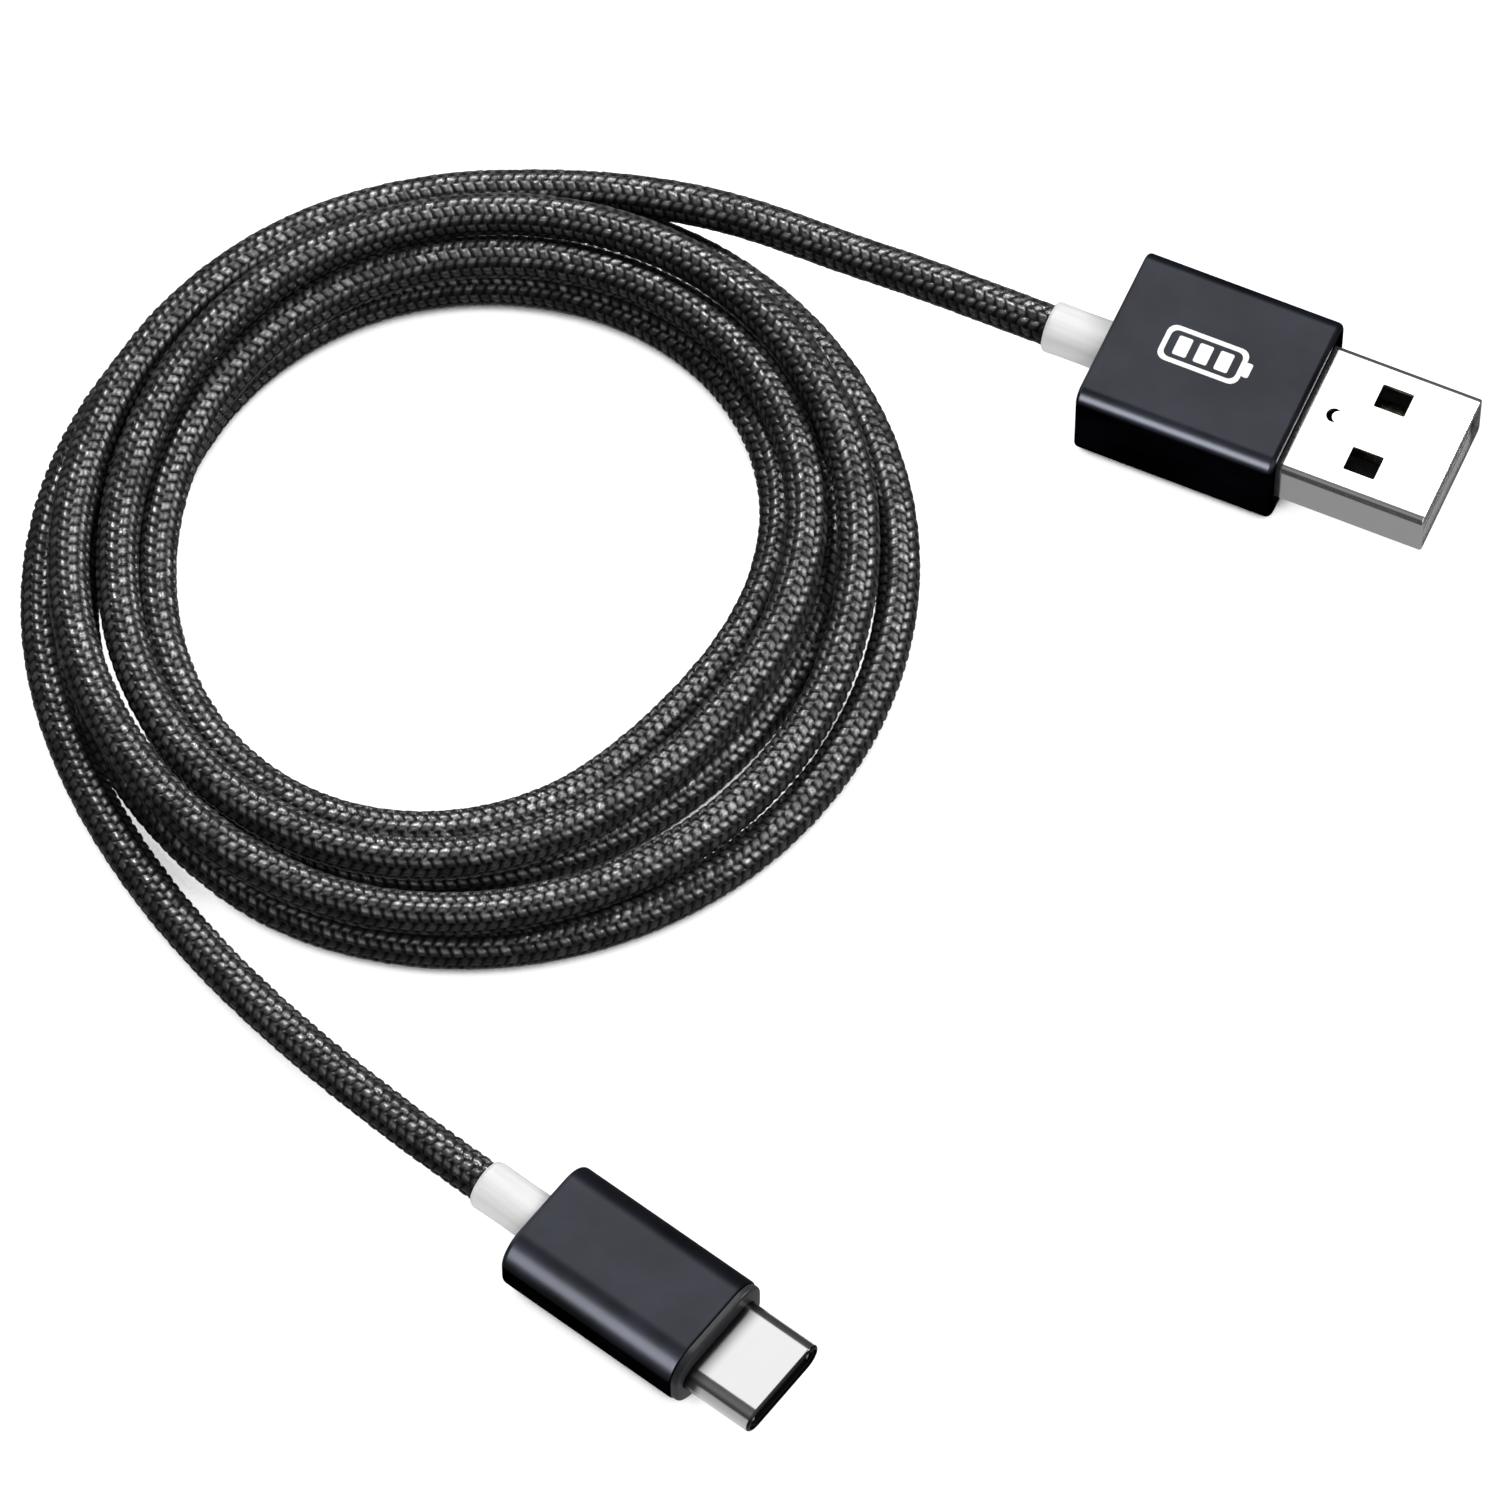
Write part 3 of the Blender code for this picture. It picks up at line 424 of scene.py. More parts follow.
class Shader:
    """Small helper for building a node material."""

    def __init__(self, name):
        self.material = bpy.data.materials.new(name)
        self.material.use_nodes = True
        self.tree = self.material.node_tree
        self.surface = self.tree.nodes["Principled BSDF"]

    def node(self, kind, **values):
        """New node with its properties and inputs set by name."""
        made = self.tree.nodes.new(kind)
        for key, value in values.items():
            if hasattr(made, key):
                setattr(made, key, value)
            else:
                made.inputs[key].default_value = value
        return made

    def link(self, source, target):
        self.tree.links.new(source, target)

    def set(self, name, value):
        self.surface.inputs[name].default_value = value

    def feed(self, name, source):
        self.link(source, self.surface.inputs[name])

    def position(self):
        """Coordinates in millimetres, the same for every piece."""
        place = self.node("ShaderNodeTexCoord")
        scale = self.node("ShaderNodeVectorMath", operation="SCALE")
        scale.inputs["Scale"].default_value = 1000.0
        self.link(place.outputs["Object"], scale.inputs[0])
        return scale.outputs["Vector"]

    def noise(self, size, detail=3.0, vector=None, roughness=0.55):
        """Noise with features of about the given size in millimetres."""
        made = self.node("ShaderNodeTexNoise")
        made.inputs["Scale"].default_value = 1.0 / size
        made.inputs["Detail"].default_value = detail
        made.inputs["Roughness"].default_value = roughness
        self.link(vector or self.position(), made.inputs["Vector"])
        return made.outputs["Fac"]

    def ramp(self, source, low, high, start=0.0, end=1.0):
        """Map a value between two colours or numbers."""
        made = self.node("ShaderNodeMapRange")
        made.inputs["From Min"].default_value = start
        made.inputs["From Max"].default_value = end
        made.inputs["To Min"].default_value = low
        made.inputs["To Max"].default_value = high
        self.link(source, made.inputs["Value"])
        return made.outputs["Result"]

    def mix(self, source, first, second):
        """Colour mixed between two colours by a value."""
        made = self.node("ShaderNodeMix", data_type="RGBA")
        colour_inputs = [i for i in made.inputs if i.type == "RGBA"]
        colour_inputs[0].default_value = (*first, 1.0)
        colour_inputs[1].default_value = (*second, 1.0)
        self.link(source, made.inputs["Factor"])
        return [o for o in made.outputs if o.type == "RGBA"][0]

    def multiply(self, first, second):
        """Product of two colours."""
        made = self.node("ShaderNodeMix", data_type="RGBA", blend_type="MULTIPLY")
        made.inputs["Factor"].default_value = 1.0
        sides = [i for i in made.inputs if i.type == "RGBA"]
        self.link(first, sides[0])
        self.link(second, sides[1])
        return [o for o in made.outputs if o.type == "RGBA"][0]

    def bump(self, source, strength, distance_mm, normal=None):
        """Bump from a height value."""
        made = self.node("ShaderNodeBump")
        made.inputs["Strength"].default_value = strength
        made.inputs["Distance"].default_value = distance_mm * MM
        self.link(source, made.inputs["Height"])
        if normal:
            self.link(normal, made.inputs["Normal"])
        return made.outputs["Normal"]

    def math(self, operation, a, b=None):
        """Sum, product or other operation on values or sockets."""
        made = self.node("ShaderNodeMath", operation=operation)
        for index, value in enumerate((a, b)):
            if value is None:
                continue
            if isinstance(value, (int, float)):
                made.inputs[index].default_value = value
            else:
                self.link(value, made.inputs[index])
        return made.outputs[0]

    def facing_up(self):
        """Upward component of the surface direction."""
        place = self.node("ShaderNodeNewGeometry")
        parts = self.node("ShaderNodeSeparateXYZ")
        self.link(place.outputs["Normal"], parts.inputs[0])
        return parts.outputs["Z"]

    def attribute(self, name):
        """Value stored at the vertices under a name."""
        made = self.node("ShaderNodeAttribute")
        made.attribute_name = name
        return made.outputs["Fac"]


def braid_material():
    """Glossy black nylon yarn: painted shade in the grooves between the stitches, fibres along each stitch,
    tone by stitch.
    """
    s = Shader("nylon_braid")
    tone = s.attribute("stitch_tone")
    depth = s.attribute("stitch_depth")
    fibre = s.attribute("stitch_fibre")
    wave = s.math("SINE", s.math("MULTIPLY", fibre, 2 * pi * FIBRES))
    fuzz = s.noise(0.12, 2.0)
    # painted shade: colour and gloss fall from the crest of each stitch to near nothing in the grooves
    crest = s.ramp(depth, 0.0, 1.0, 0.38, 0.95)
    shade = s.math("MULTIPLY", crest, s.ramp(tone, 0.35, 1.0))
    s.feed("Base Color", s.mix(shade, (0.004, 0.004, 0.004), (0.024, 0.024, 0.025)))
    s.feed("Roughness", s.ramp(fuzz, 0.23, 0.35))
    s.feed("Specular IOR Level", s.math("MULTIPLY", s.ramp(crest, 0.03, 0.9), s.ramp(tone, 0.25, 1.0)))
    height = s.math("ADD", s.math("MULTIPLY", wave, 0.5), fuzz)
    s.feed("Normal", s.bump(height, 0.45, 0.02))
    return s.material


def anodised_material():
    """Satin gunmetal anodising: fine blasted grain, faint tone drift, painted shade on upright faces."""
    s = Shader("gunmetal_anodised")
    grain = s.noise(0.05, 2.0)
    drift = s.noise(6.0, 3.0)
    level = s.facing_up()
    tint = s.ramp(drift, 0.0, 1.0, 0.35, 0.65)
    # painted shade: the colour goes to black and the reflection fades out as a face turns upright
    shade = s.math("MULTIPLY", tint, s.ramp(level, 0.05, 1.0, 0.15, 0.60))
    s.feed("Base Color", s.mix(shade, (0.0, 0.0, 0.0), (0.012, 0.0125, 0.020)))
    s.feed("Specular Tint", s.mix(level, (0.80, 0.84, 1.0), (0.82, 0.86, 1.0)))
    s.feed("Roughness", s.ramp(grain, 0.30, 0.42))
    s.feed("Specular IOR Level", s.ramp(level, 0.0, 0.62, 0.10, 0.60))
    s.feed("Normal", s.bump(grain, 0.10, 0.01))
    return s.material


def relief_material():
    """White, slightly translucent rubber with soft grey streaks along the cable."""
    s = Shader("white_rubber")
    place = s.node("ShaderNodeCombineXYZ")
    s.link(s.attribute("relief_round"), place.inputs["X"])
    s.link(s.attribute("relief_along"), place.inputs["Y"])
    streak = s.noise(0.05, 2.0, place.outputs["Vector"])
    fine = s.noise(0.15, 2.0)
    colour = s.mix(s.ramp(streak, 0.0, 1.0, 0.35, 0.70), (0.80, 0.80, 0.80), (0.70, 0.70, 0.705))
    s.feed("Base Color", colour)
    s.feed("Roughness", s.ramp(fine, 0.38, 0.5))
    s.set("Subsurface Weight", 0.15)
    s.set("Subsurface Radius", (0.0008, 0.0007, 0.0006))
    s.feed("Normal", s.bump(streak, 0.10, 0.02))
    return s.material


def plated_material(name, metallic, low, high, reach=None):
    """Nickel plate with rolling marks and slight handling haze; where asked, a stored value paints shade and
    a pale reflection into it.
    """
    s = Shader(name)
    haze = s.noise(3.0, 4.0)
    rolled = s.noise(0.35, 3.0)
    bright = s.mix(haze, (0.88, 0.88, 0.885), (0.94, 0.94, 0.94))
    s.set("Metallic", metallic)
    if reach:
        # painted light: the stored value darkens the colour for shade and, where high, turns the plate pale
        # and matt for a reflection
        level = s.attribute(reach)
        bright = s.multiply(bright, s.mix(level, (0.05, 0.05, 0.05), (1.0, 1.0, 1.0)))
        s.feed("Metallic", s.ramp(level, metallic, 0.1, 0.6, 1.0))
    s.feed("Base Color", bright)
    s.feed("Roughness", s.ramp(haze, low, high, 0.3, 0.7))
    s.feed("Normal", s.bump(rolled, 0.03, 0.01))
    return s.material


def plastic_material(name, dark, light, roughness, gloss=0.5):
    """Moulded plastic with a fine texture."""
    s = Shader(name)
    s.set("Specular IOR Level", gloss)
    fine = s.noise(0.12, 2.0)
    drift = s.noise(2.5, 2.0)
    s.feed("Base Color", s.mix(drift, dark, light))
    s.feed("Roughness", s.ramp(fine, roughness - 0.06, roughness + 0.06))
    s.feed("Normal", s.bump(fine, 0.12, 0.01))
    return s.material


def gold_material(name, bright, worn):
    """Plating on contact springs, a little duller where it wipes."""
    s = Shader(name)
    wear = s.noise(0.5, 3.0)
    s.feed("Base Color", s.mix(wear, bright, worn))
    s.set("Metallic", 1.0)
    s.feed("Roughness", s.ramp(wear, 0.16, 0.34, 0.3, 0.7))
    s.feed("Normal", s.bump(wear, 0.05, 0.01))
    return s.material


def board_material():
    """Solder mask with pale printed traces."""
    s = Shader("circuit_board")
    mask = s.noise(0.8, 2.0)
    s.feed("Base Color", s.mix(s.ramp(mask, 0.0, 1.0, 0.48, 0.52), (0.01, 0.09, 0.035), (0.02, 0.15, 0.06)))
    s.set("Roughness", 0.35)
    s.feed("Normal", s.bump(mask, 0.1, 0.02))
    return s.material


# ================================================================ mesh helpers
def make_mesh(name, points_mm, faces, material, smooth_angle=None):
    """A mesh object from points in millimetres in the shared frame."""
    mesh = bpy.data.meshes.new(name)
    mesh.from_pydata([tuple(p) for p in np.asarray(points_mm) * MM], [], faces)
    mesh.update()
    form = bmesh.new()
    form.from_mesh(mesh)
    bmesh.ops.recalc_face_normals(form, faces=form.faces)
    form.to_mesh(mesh)
    form.free()
    mesh.shade_smooth()
    if smooth_angle is not None:
        mesh.set_sharp_from_angle(angle=radians(smooth_angle))
    mesh.materials.append(material)
    item = bpy.data.objects.new(name, mesh)
    bpy.context.scene.collection.objects.link(item)
    return item


def even_shading(item):
    """Let the large faces set the shading, so that flats stay flat beside rounded edges."""
    normals = item.modifiers.new("face_weighted", "WEIGHTED_NORMAL")
    normals.keep_sharp = True
    normals.weight = 100
    return item


def skin(name, rings, material, closed=True, caps=False, smooth_angle=35.0):
    """Skin equal-sized rings of points."""
    count = len(rings[0])
    points = np.concatenate([np.asarray(r, float) for r in rings])
    faces = []
    last = len(rings) if closed else len(rings) - 1
    for row in range(last):
        near = row * count
        far = ((row + 1) % len(rings)) * count
        for i in range(count):
            j = (i + 1) % count
            faces.append((near + i, near + j, far + j, far + i))
    if caps:
        faces.append(tuple(range(count))[::-1])
        faces.append(tuple((len(rings) - 1) * count + i for i in range(count)))
    return make_mesh(name, points, faces, material, smooth_angle)


class Plug:
    """Takes points drawn from the cable mouth (x forward, z up) into the shared frame."""

    def __init__(self, mouth, height, yaw):
        self.origin = np.array([*(mouth + COIL_CENTRE), height])
        self.axes = np.array([[cos(yaw), sin(yaw), 0], [-sin(yaw), cos(yaw), 0], [0, 0, 1.0]])

    def out(self, points):
        return np.asarray(points, float) @ self.axes + self.origin

    def rings(self, rings):
        return [self.out(ring) for ring in rings]


def round_outline(width, height, corner, inset=0.0, segments=10):
    """Points of a rounded rectangle in the y-z plane, counter-clockwise, with split sides."""
    half_width = width / 2 - inset
    half_height = height / 2 - inset
    radius = max(corner - inset, LEAST_CORNER)
    points = []
    for quarter in range(4):
        side_y = 1 if quarter in (0, 3) else -1
        side_z = 1 if quarter < 2 else -1
        for step in range(segments + 1):
            angle = (quarter + step / segments) * pi / 2
            y = side_y * (half_width - radius) + radius * cos(angle)
            z = side_z * (half_height - radius) + radius * sin(angle)
            points.append((y, z))
    return points


def circle_outline(radius, segments=10):
    """Points of a circle, as many as in a rounded rectangle with these segments."""
    count = 4 * (segments + 1)
    angles = [2 * pi * (index + 0.5) / count for index in range(count)]
    return [(radius * cos(angle), radius * sin(angle)) for angle in angles]


def at(x, outline):
    """A cross-section outline set at a distance from the cable mouth."""
    return [(x, y, z) for y, z in outline]


def round_rings(profile, sides=48):
    """Rings round the x axis for a profile of (x, radius) pairs."""
    angles = [2 * pi * index / sides for index in range(sides)]
    return [[(x, r * cos(a), r * sin(a)) for a in angles] for x, r in profile]


# ================================================================ braid
def braid_patch(line, name, first, count, material):
    """Woven sleeve for a run of stitches: columns of slanted, bulging stitches, every other one offset."""
    rows = count * STITCH_F + 1
    across = BRAID_COLUMNS * STITCH_U
    i = np.arange(across)
    column = i // STITCH_U
    u = (i % STITCH_U) / STITCH_U
    zigzag = np.where(column % 2 == 0, u, 1 - u)
    j = np.arange(rows)
    s = (first + j[:, None] / STITCH_F + STITCH_SLANT * zigzag[None, :]) * STITCH_PITCH
    phase = j[:, None] / STITCH_F + 0.5 * (column % 2)[None, :]
    f = phase % 1.0
    tone = stitch_noise(first + np.floor(phase), column[None, :], 0.0)
    lean = stitch_noise(first + np.floor(phase), column[None, :], LEAN_SEED) - 0.5
    round_top = 1 - (2 * f - 1) ** 2
    side = (2 * u - 1)[None, :] ** 2
    plies = -BRAID_PLY_HEIGHT * np.cos(2 * pi * BRAID_PLIES * f)
    lift = round_top * (1 - STITCH_SIDE_DROP * side) + (1 - round_top) * STITCH_BRIDGE * (1 - side)
    radius = BRAID_FLOOR + BRAID_HEIGHT * lift + plies * round_top
    radius = radius + lift * (STITCH_SPREAD * (tone - 0.5) + STITCH_TILT * lean * (2 * f - 1))
    theta = 2 * pi * i / across + pi / 2
    centre, across_line, up = line.frames(s.ravel())
    angle = np.broadcast_to(theta[None, :], s.shape).ravel()
    radial = np.cos(angle)[:, None] * across_line + np.sin(angle)[:, None] * up
    points = centre + radial * radius.ravel()[:, None]
    jj, ii = np.meshgrid(np.arange(rows - 1), i, indexing="ij")
    right = (ii + 1) % across
    a = jj * across + ii
    b = jj * across + right
    c = (jj + 1) * across + right
    d = (jj + 1) * across + ii
    faces = np.stack([a, b, c, d], axis=-1).reshape(-1, 4)
    item = grid_mesh(name, points, faces, material)
    # the stitch depth also sets the braid material's painted shade in the grooves
    write_attribute(item, "stitch_depth", lift.ravel())
    write_attribute(item, "stitch_fibre", f.ravel())
    write_attribute(item, "stitch_tone", tone.ravel())
    return item


def stitch_noise(row, column, seed):
    """Fixed pseudo-random value from 0 to 1 for each stitch."""
    return np.abs(np.sin((row * HASH_ROW + column * HASH_COLUMN + seed) * HASH_SCALE) * HASH_GAIN) % 1.0


def grid_mesh(name, points_mm, faces, material):
    """Fast mesh from arrays of points (millimetres) and quads."""
    mesh = bpy.data.meshes.new(name)
    mesh.vertices.add(len(points_mm))
    mesh.vertices.foreach_set("co", (points_mm * MM).astype(np.float32).ravel())
    mesh.loops.add(faces.size)
    mesh.loops.foreach_set("vertex_index", faces.astype(np.int32).ravel())
    mesh.polygons.add(len(faces))
    mesh.polygons.foreach_set("loop_start", (np.arange(len(faces)) * faces.shape[1]).astype(np.int32))
    mesh.update(calc_edges=True)
    mesh.validate()
    mesh.shade_smooth()
    mesh.materials.append(material)
    item = bpy.data.objects.new(name, mesh)
    bpy.context.scene.collection.objects.link(item)
    return item


def write_attribute(item, name, values):
    """Store one value per vertex for a material to read."""
    layer = item.data.attributes.new(name, "FLOAT", "POINT")
    layer.data.foreach_set("value", np.asarray(values, np.float32))


def jacket(line, name, low, high, material):
    """Round inner jacket under the braid."""
    steps = max(int(round((high - low) / JACKET_STEP)), 1)
    s = np.linspace(low, high, steps + 1)
    centre, side, up = line.frames(s)
    angles = 2 * pi * np.arange(JACKET_SIDES) / JACKET_SIDES
    rings = []
    for k in range(len(s)):
        radial = np.cos(angles)[:, None] * side[k] + np.sin(angles)[:, None] * up[k]
        rings.append(centre[k] + JACKET_RADIUS * radial)
    return skin(name, rings, material, closed=False, caps=True, smooth_angle=60.0)


def stitch(s):
    """Number of the stitch row at a distance along the cable."""
    return int(round(s / STITCH_PITCH))


def lead_splits(joints):
    """Distances from the plug mouth where a lead is divided: before, between and after its joints."""
    middles = [(far + near) / 2 for far, near in zip(joints[:-1], joints[1:])]
    return [joints[0] + COIL_SPLIT, *middles, -BRAID_INTO_PLUG]


# one stretch of a lead: braid from low to high, longer jacket, two bodies, joint place, bend reach, solids
Run = namedtuple("Run", "name low high jacket_low jacket_high bodies joint reach node")


def lead_runs(end):
    """The stretches of both leads, each spanning one joint."""
    runs = []
    c_splits, a_splits = lead_splits(C_JOINTS), lead_splits(A_JOINTS)
    for k, (c_joint, a_joint) in enumerate(zip(C_JOINTS, A_JOINTS)):
        tail = JACKET_INTO_PLUG - BRAID_INTO_PLUG if k == len(C_JOINTS) - 1 else 0.0
        low, high = c_splits[k + 1], c_splits[k]
        runs.append(Run(f"cable_c{k + 1}", low, high, low - tail, high, (C_BODIES[k + 1], C_BODIES[k]),
                        c_joint, min(BEND_REACH_C, c_joint + BEND_INTO_PLUG), C_NODES[k]))
        low, high = end - a_splits[k], end - a_splits[k + 1]
        runs.append(Run(f"cable_a{k + 1}", low, high, low, high + tail, (A_BODIES[k], A_BODIES[k + 1]),
                        end - a_joint, min(BEND_REACH_A, a_joint + BEND_INTO_PLUG), A_NODES[k]))
    return runs


def spread(item, line, run):
    """Bake a piece's placement into its mesh; it is neither bent round the joint of its run nor fixed to a
    body.
    """
    ends, _, _ = line.frames([run.joint - run.reach, run.joint + run.reach])
    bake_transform(item)


def build_run(line, run, braid, inner):
    """Braid and jacket of one stretch of a lead, standing for one link's solids."""
    first = stitch(run.low)
    outer = braid_patch(line, run.name + "_braid", first, stitch(run.high) - first, braid)
    spread(outer, line, run)
    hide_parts(run.node + "_sleeve")
    core = jacket(line, run.name + "_jacket", run.jacket_low, run.jacket_high, inner)
    spread(core, line, run)
    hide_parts(run.node + "_core")


def build_cable(line, braid, inner):
    """Braid and jacket in pieces: fixed to the coil over the coil, and one piece over each joint of the
    leads, laid in place and not bent.
    """
    for run in lead_runs(line.length):
        build_run(line, run, braid, inner)
    low, high = lead_splits(C_JOINTS)[0], line.length - lead_splits(A_JOINTS)[0]
    cuts = np.linspace(stitch(low), stitch(high), COIL_BRAID_PARTS + 1).round().astype(int)
    for k in range(COIL_BRAID_PARTS):
        piece = braid_patch(line, f"coil_braid_{k + 1}", int(cuts[k]), int(cuts[k + 1] - cuts[k]), braid)
        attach(piece, "coil")
        if k == 0:
            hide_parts("coil_sleeve")
    piece = jacket(line, "coil_jacket", low, high, inner)
    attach(piece, "coil")
    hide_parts("coil_core")


# ================================================================ plug pieces
def edge_rings(outline, start, edge):
    """Rings of a quarter-round edge that grows from the rear end of a piece."""
    rings = []
    for step in range(EDGE_STEPS + 1):
        angle = step / EDGE_STEPS * pi / 2
        section = round_outline(*outline, edge * (1 - sin(angle)), FINE_CORNER)
        rings.append(at(start + edge * (1 - cos(angle)), section))
    return rings


def lip_rings(outline, end, lip, segments):
    """Rings of a quarter-round edge that closes in on the front end of a piece."""
    rings = []
    for step in range(LIP_STEPS + 1):
        angle = step / LIP_STEPS * pi / 2
        section = round_outline(*outline, lip * (1 - cos(angle)), segments)
        rings.append(at(end - lip + lip * sin(angle), section))
    return rings


def housing_piece(name, plug, start, size, corner, cavity, hole, edge, lip, material):
    """Anodised housing: rounded tube with softened ends, open front, hole in the rear wall."""
    length, *section = size
    outline = (*section, corner)
    end = start + length
    rings = [at(start + HOUSING_WALL, circle_outline(hole, FINE_CORNER)),
             at(start + HOLE_CHAMFER, circle_outline(hole, FINE_CORNER)),
             at(start, circle_outline(hole + HOLE_CHAMFER, FINE_CORNER))]
    rings += edge_rings(outline, start, edge) + lip_rings(outline, end, lip, FINE_CORNER)
    cavity_outline = round_outline(*cavity, segments=FINE_CORNER)
    rings += [at(end, cavity_outline), at(start + HOUSING_WALL, cavity_outline)]
    return skin(name, plug.rings(rings), material, smooth_angle=SHARP_ANGLE)


def relief_piece(name, plug, length, radius, flange, material):
    """Strain relief: softly rounded mouth, slight waist, flange inside the housing."""
    flange_start, flange_end, chamfer = RELIEF_FLANGE
    profile = [(x, RELIEF_BORE + more) for x, more in RELIEF_MOUTH_INSIDE]
    profile += [(x, radius - less) for x, less in RELIEF_MOUTH_OUTSIDE]
    waist_start = RELIEF_MOUTH_OUTSIDE[-1][0]
    for k in range(1, RELIEF_WAIST_STEPS):
        part = k / RELIEF_WAIST_STEPS
        profile.append((waist_start + (length - waist_start) * part, radius - RELIEF_WAIST * sin(pi * part)))
    low, high = length + flange_start, length + flange_end
    profile += [(length, radius), (low, radius), (low, flange - chamfer), (low + chamfer, flange),
                (high - chamfer, flange), (high, flange - chamfer), (high, RELIEF_BORE)]
    item = skin(name, plug.rings(round_rings(profile, RELIEF_SIDES)), material, smooth_angle=50.0)
    around = np.abs(np.arange(RELIEF_SIDES) / RELIEF_SIDES - 0.5)
    write_attribute(item, "relief_round", np.tile(around, len(profile)))
    along = [RELIEF_STREAK_STRETCH * x for x, _ in profile]
    write_attribute(item, "relief_along", np.repeat(along, RELIEF_SIDES))
    return item


def tube_piece(name, plug, start, end, sections, lip, material, segments=10, stations=()):
    """Tube between an outer and an inner rounded rectangle, with a softened front edge."""
    outer, inner = sections
    outside = round_outline(*outer, segments=segments)
    inside = round_outline(*inner, segments=segments)
    rings = [at(start, inside), at(start, outside)]
    rings += [at(x, outside) for x in stations]
    rings += lip_rings(outer, end, lip, segments)
    rings.append(at(end, inside))
    return skin(name, plug.rings(rings), material, smooth_angle=SHARP_ANGLE)


def cut_through(item, cutters):
    """Cut solid shapes out of a piece and keep the result as its mesh."""
    for cutter in cutters:
        cut = item.modifiers.new("cut", "BOOLEAN")
        cut.operation = "DIFFERENCE"
        cut.solver = "EXACT"
        cut.object = cutter
    evaluated = item.evaluated_get(bpy.context.evaluated_depsgraph_get())
    cut_mesh = bpy.data.meshes.new_from_object(evaluated)
    item.modifiers.clear()
    cut_mesh.set_sharp_from_angle(angle=radians(CUT_SHARP_ANGLE))
    item.data = cut_mesh
    for cutter in cutters:
        bpy.data.objects.remove(cutter, do_unlink=True)


def prism_points(outline, low, high):
    """Rings of an upright prism over a plan outline."""
    return [[(x, y, z) for x, y in outline] for z in (low, high)]


def plan_rectangle(x, y, length, width, corner, segments=4):
    """Rounded rectangle in plan."""
    return [(x + a, y + b) for a, b in round_outline(length, width, corner, segments=segments)]


def prism(name, plug, outline, low, high, material):
    """Closed upright prism over a plan outline."""
    return skin(name, plug.rings(prism_points(outline, low, high)), material, closed=False, caps=True)


def shell_openings(plug, tip, material):
    """Cutters for the latch windows and the half-moon locking mark of the USB-A shell."""
    height = A_SHELL[0][1]
    cutters = []
    for side in (-1, 1):
        outline = plan_rectangle(tip - A_WINDOW_BACK, side * A_WINDOW_SIDE, *A_WINDOW)
        cutters.append(prism("window_cutter", plug, outline, -height, height, material))
    angles = np.linspace(0.5 * pi, 1.5 * pi, A_MARK_POINTS)
    outer = [(A_MARK_RADIUS * cos(a), A_MARK_RADIUS * sin(a)) for a in angles]
    inner = [(A_MARK_DEPTH + x * A_MARK_INNER, y * A_MARK_INNER) for x, y in reversed(outer)]
    outline = [(tip - A_MARK_BACK + x, y) for x, y in outer + inner]
    cutters.append(prism("mark_cutter", plug, outline, height / 2 - 2 * A_SHELL_WALL, height, material))
    return cutters


def pictogram(name, plug, material):
    """Generic battery sign printed on the housing: outline, terminal and three bars."""
    length, width, line, corner = PRINT_FRAME
    x, top = PRINT_PLACE
    low, high = top - PRINT_THICKNESS, top + PRINT_THICKNESS
    outside = plan_rectangle(x, 0.0, length, width, corner)
    inside = plan_rectangle(x, 0.0, length - 2 * line, width - 2 * line, corner - line / 2)
    frame_rings = [[(px, py, low) for px, py in inside], [(px, py, low) for px, py in outside],
                   [(px, py, high) for px, py in outside], [(px, py, high) for px, py in inside]]
    parts = [skin(name, plug.rings(frame_rings), material)]
    blocks = [(x + length / 2 + PRINT_TERMINAL[0] / 2 - PRINT_OVERLAP, *PRINT_TERMINAL)]
    bar_length, bar_width, bar_step = PRINT_BAR
    blocks += [(x + k * bar_step, bar_length, bar_width) for k in (-1, 0, 1)]
    for middle, block_length, block_width in blocks:
        outline = plan_rectangle(middle, 0.0, block_length, block_width, PRINT_BLOCK_CORNER)
        parts.append(prism(name + "_part", plug, outline, low, high, material))
    return join(parts)


def join(parts):
    """Join several mesh objects into the first."""
    form = bmesh.new()
    for part in parts:
        form.from_mesh(part.data)
    form.to_mesh(parts[0].data)
    form.free()
    for part in parts[1:]:
        bpy.data.objects.remove(part, do_unlink=True)
    return parts[0]


def place_piece(item, body, slot, *nodes):
    """Fix a piece to a body of the frame in place of the named solids."""
    even_shading(item)
    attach(item, body)
    if nodes:
        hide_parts(*nodes)


def usb_a(plug, m):
    """USB-A plug."""
    relief_length, relief_radius, flange = A_RELIEF
    front = relief_length + A_HOUSING[0]
    tip = front + A_SHELL_REACH
    case = housing_piece("usb_a_case", plug, relief_length, A_HOUSING, A_CORNER, A_CAVITY, A_HOLE,
                         A_EDGE, A_LIP, m["metal"])
    place_piece(case, "usb_a", "gunmetal", "usb_a_housing")
    boot = relief_piece("usb_a_boot", plug, relief_length, relief_radius, flange, m["rubber"])
    place_piece(boot, "usb_a", "white_rubber", "usb_a_relief")
    bezel = tube_piece("usb_a_bezel", plug, front - A_BEZEL_BACK, front - A_BEZEL_RECESS, A_BEZEL,
                       A_BEZEL_LIP, m["dead_black"])
    place_piece(bezel, "usb_a", "black_plastic", "usb_a_collar")
    shell = tube_piece("usb_a_plug_shell", plug, tip - A_SHELL_LENGTH, tip, A_SHELL, A_SHELL_LIP, m["plate"])
    cut_through(shell, shell_openings(plug, tip, m["plate"]))
    place_piece(shell, "usb_a", "plated_steel", "usb_a_shell")
    place_piece(pictogram("usb_a_print", plug, m["print"]), "usb_a", "white_rubber")


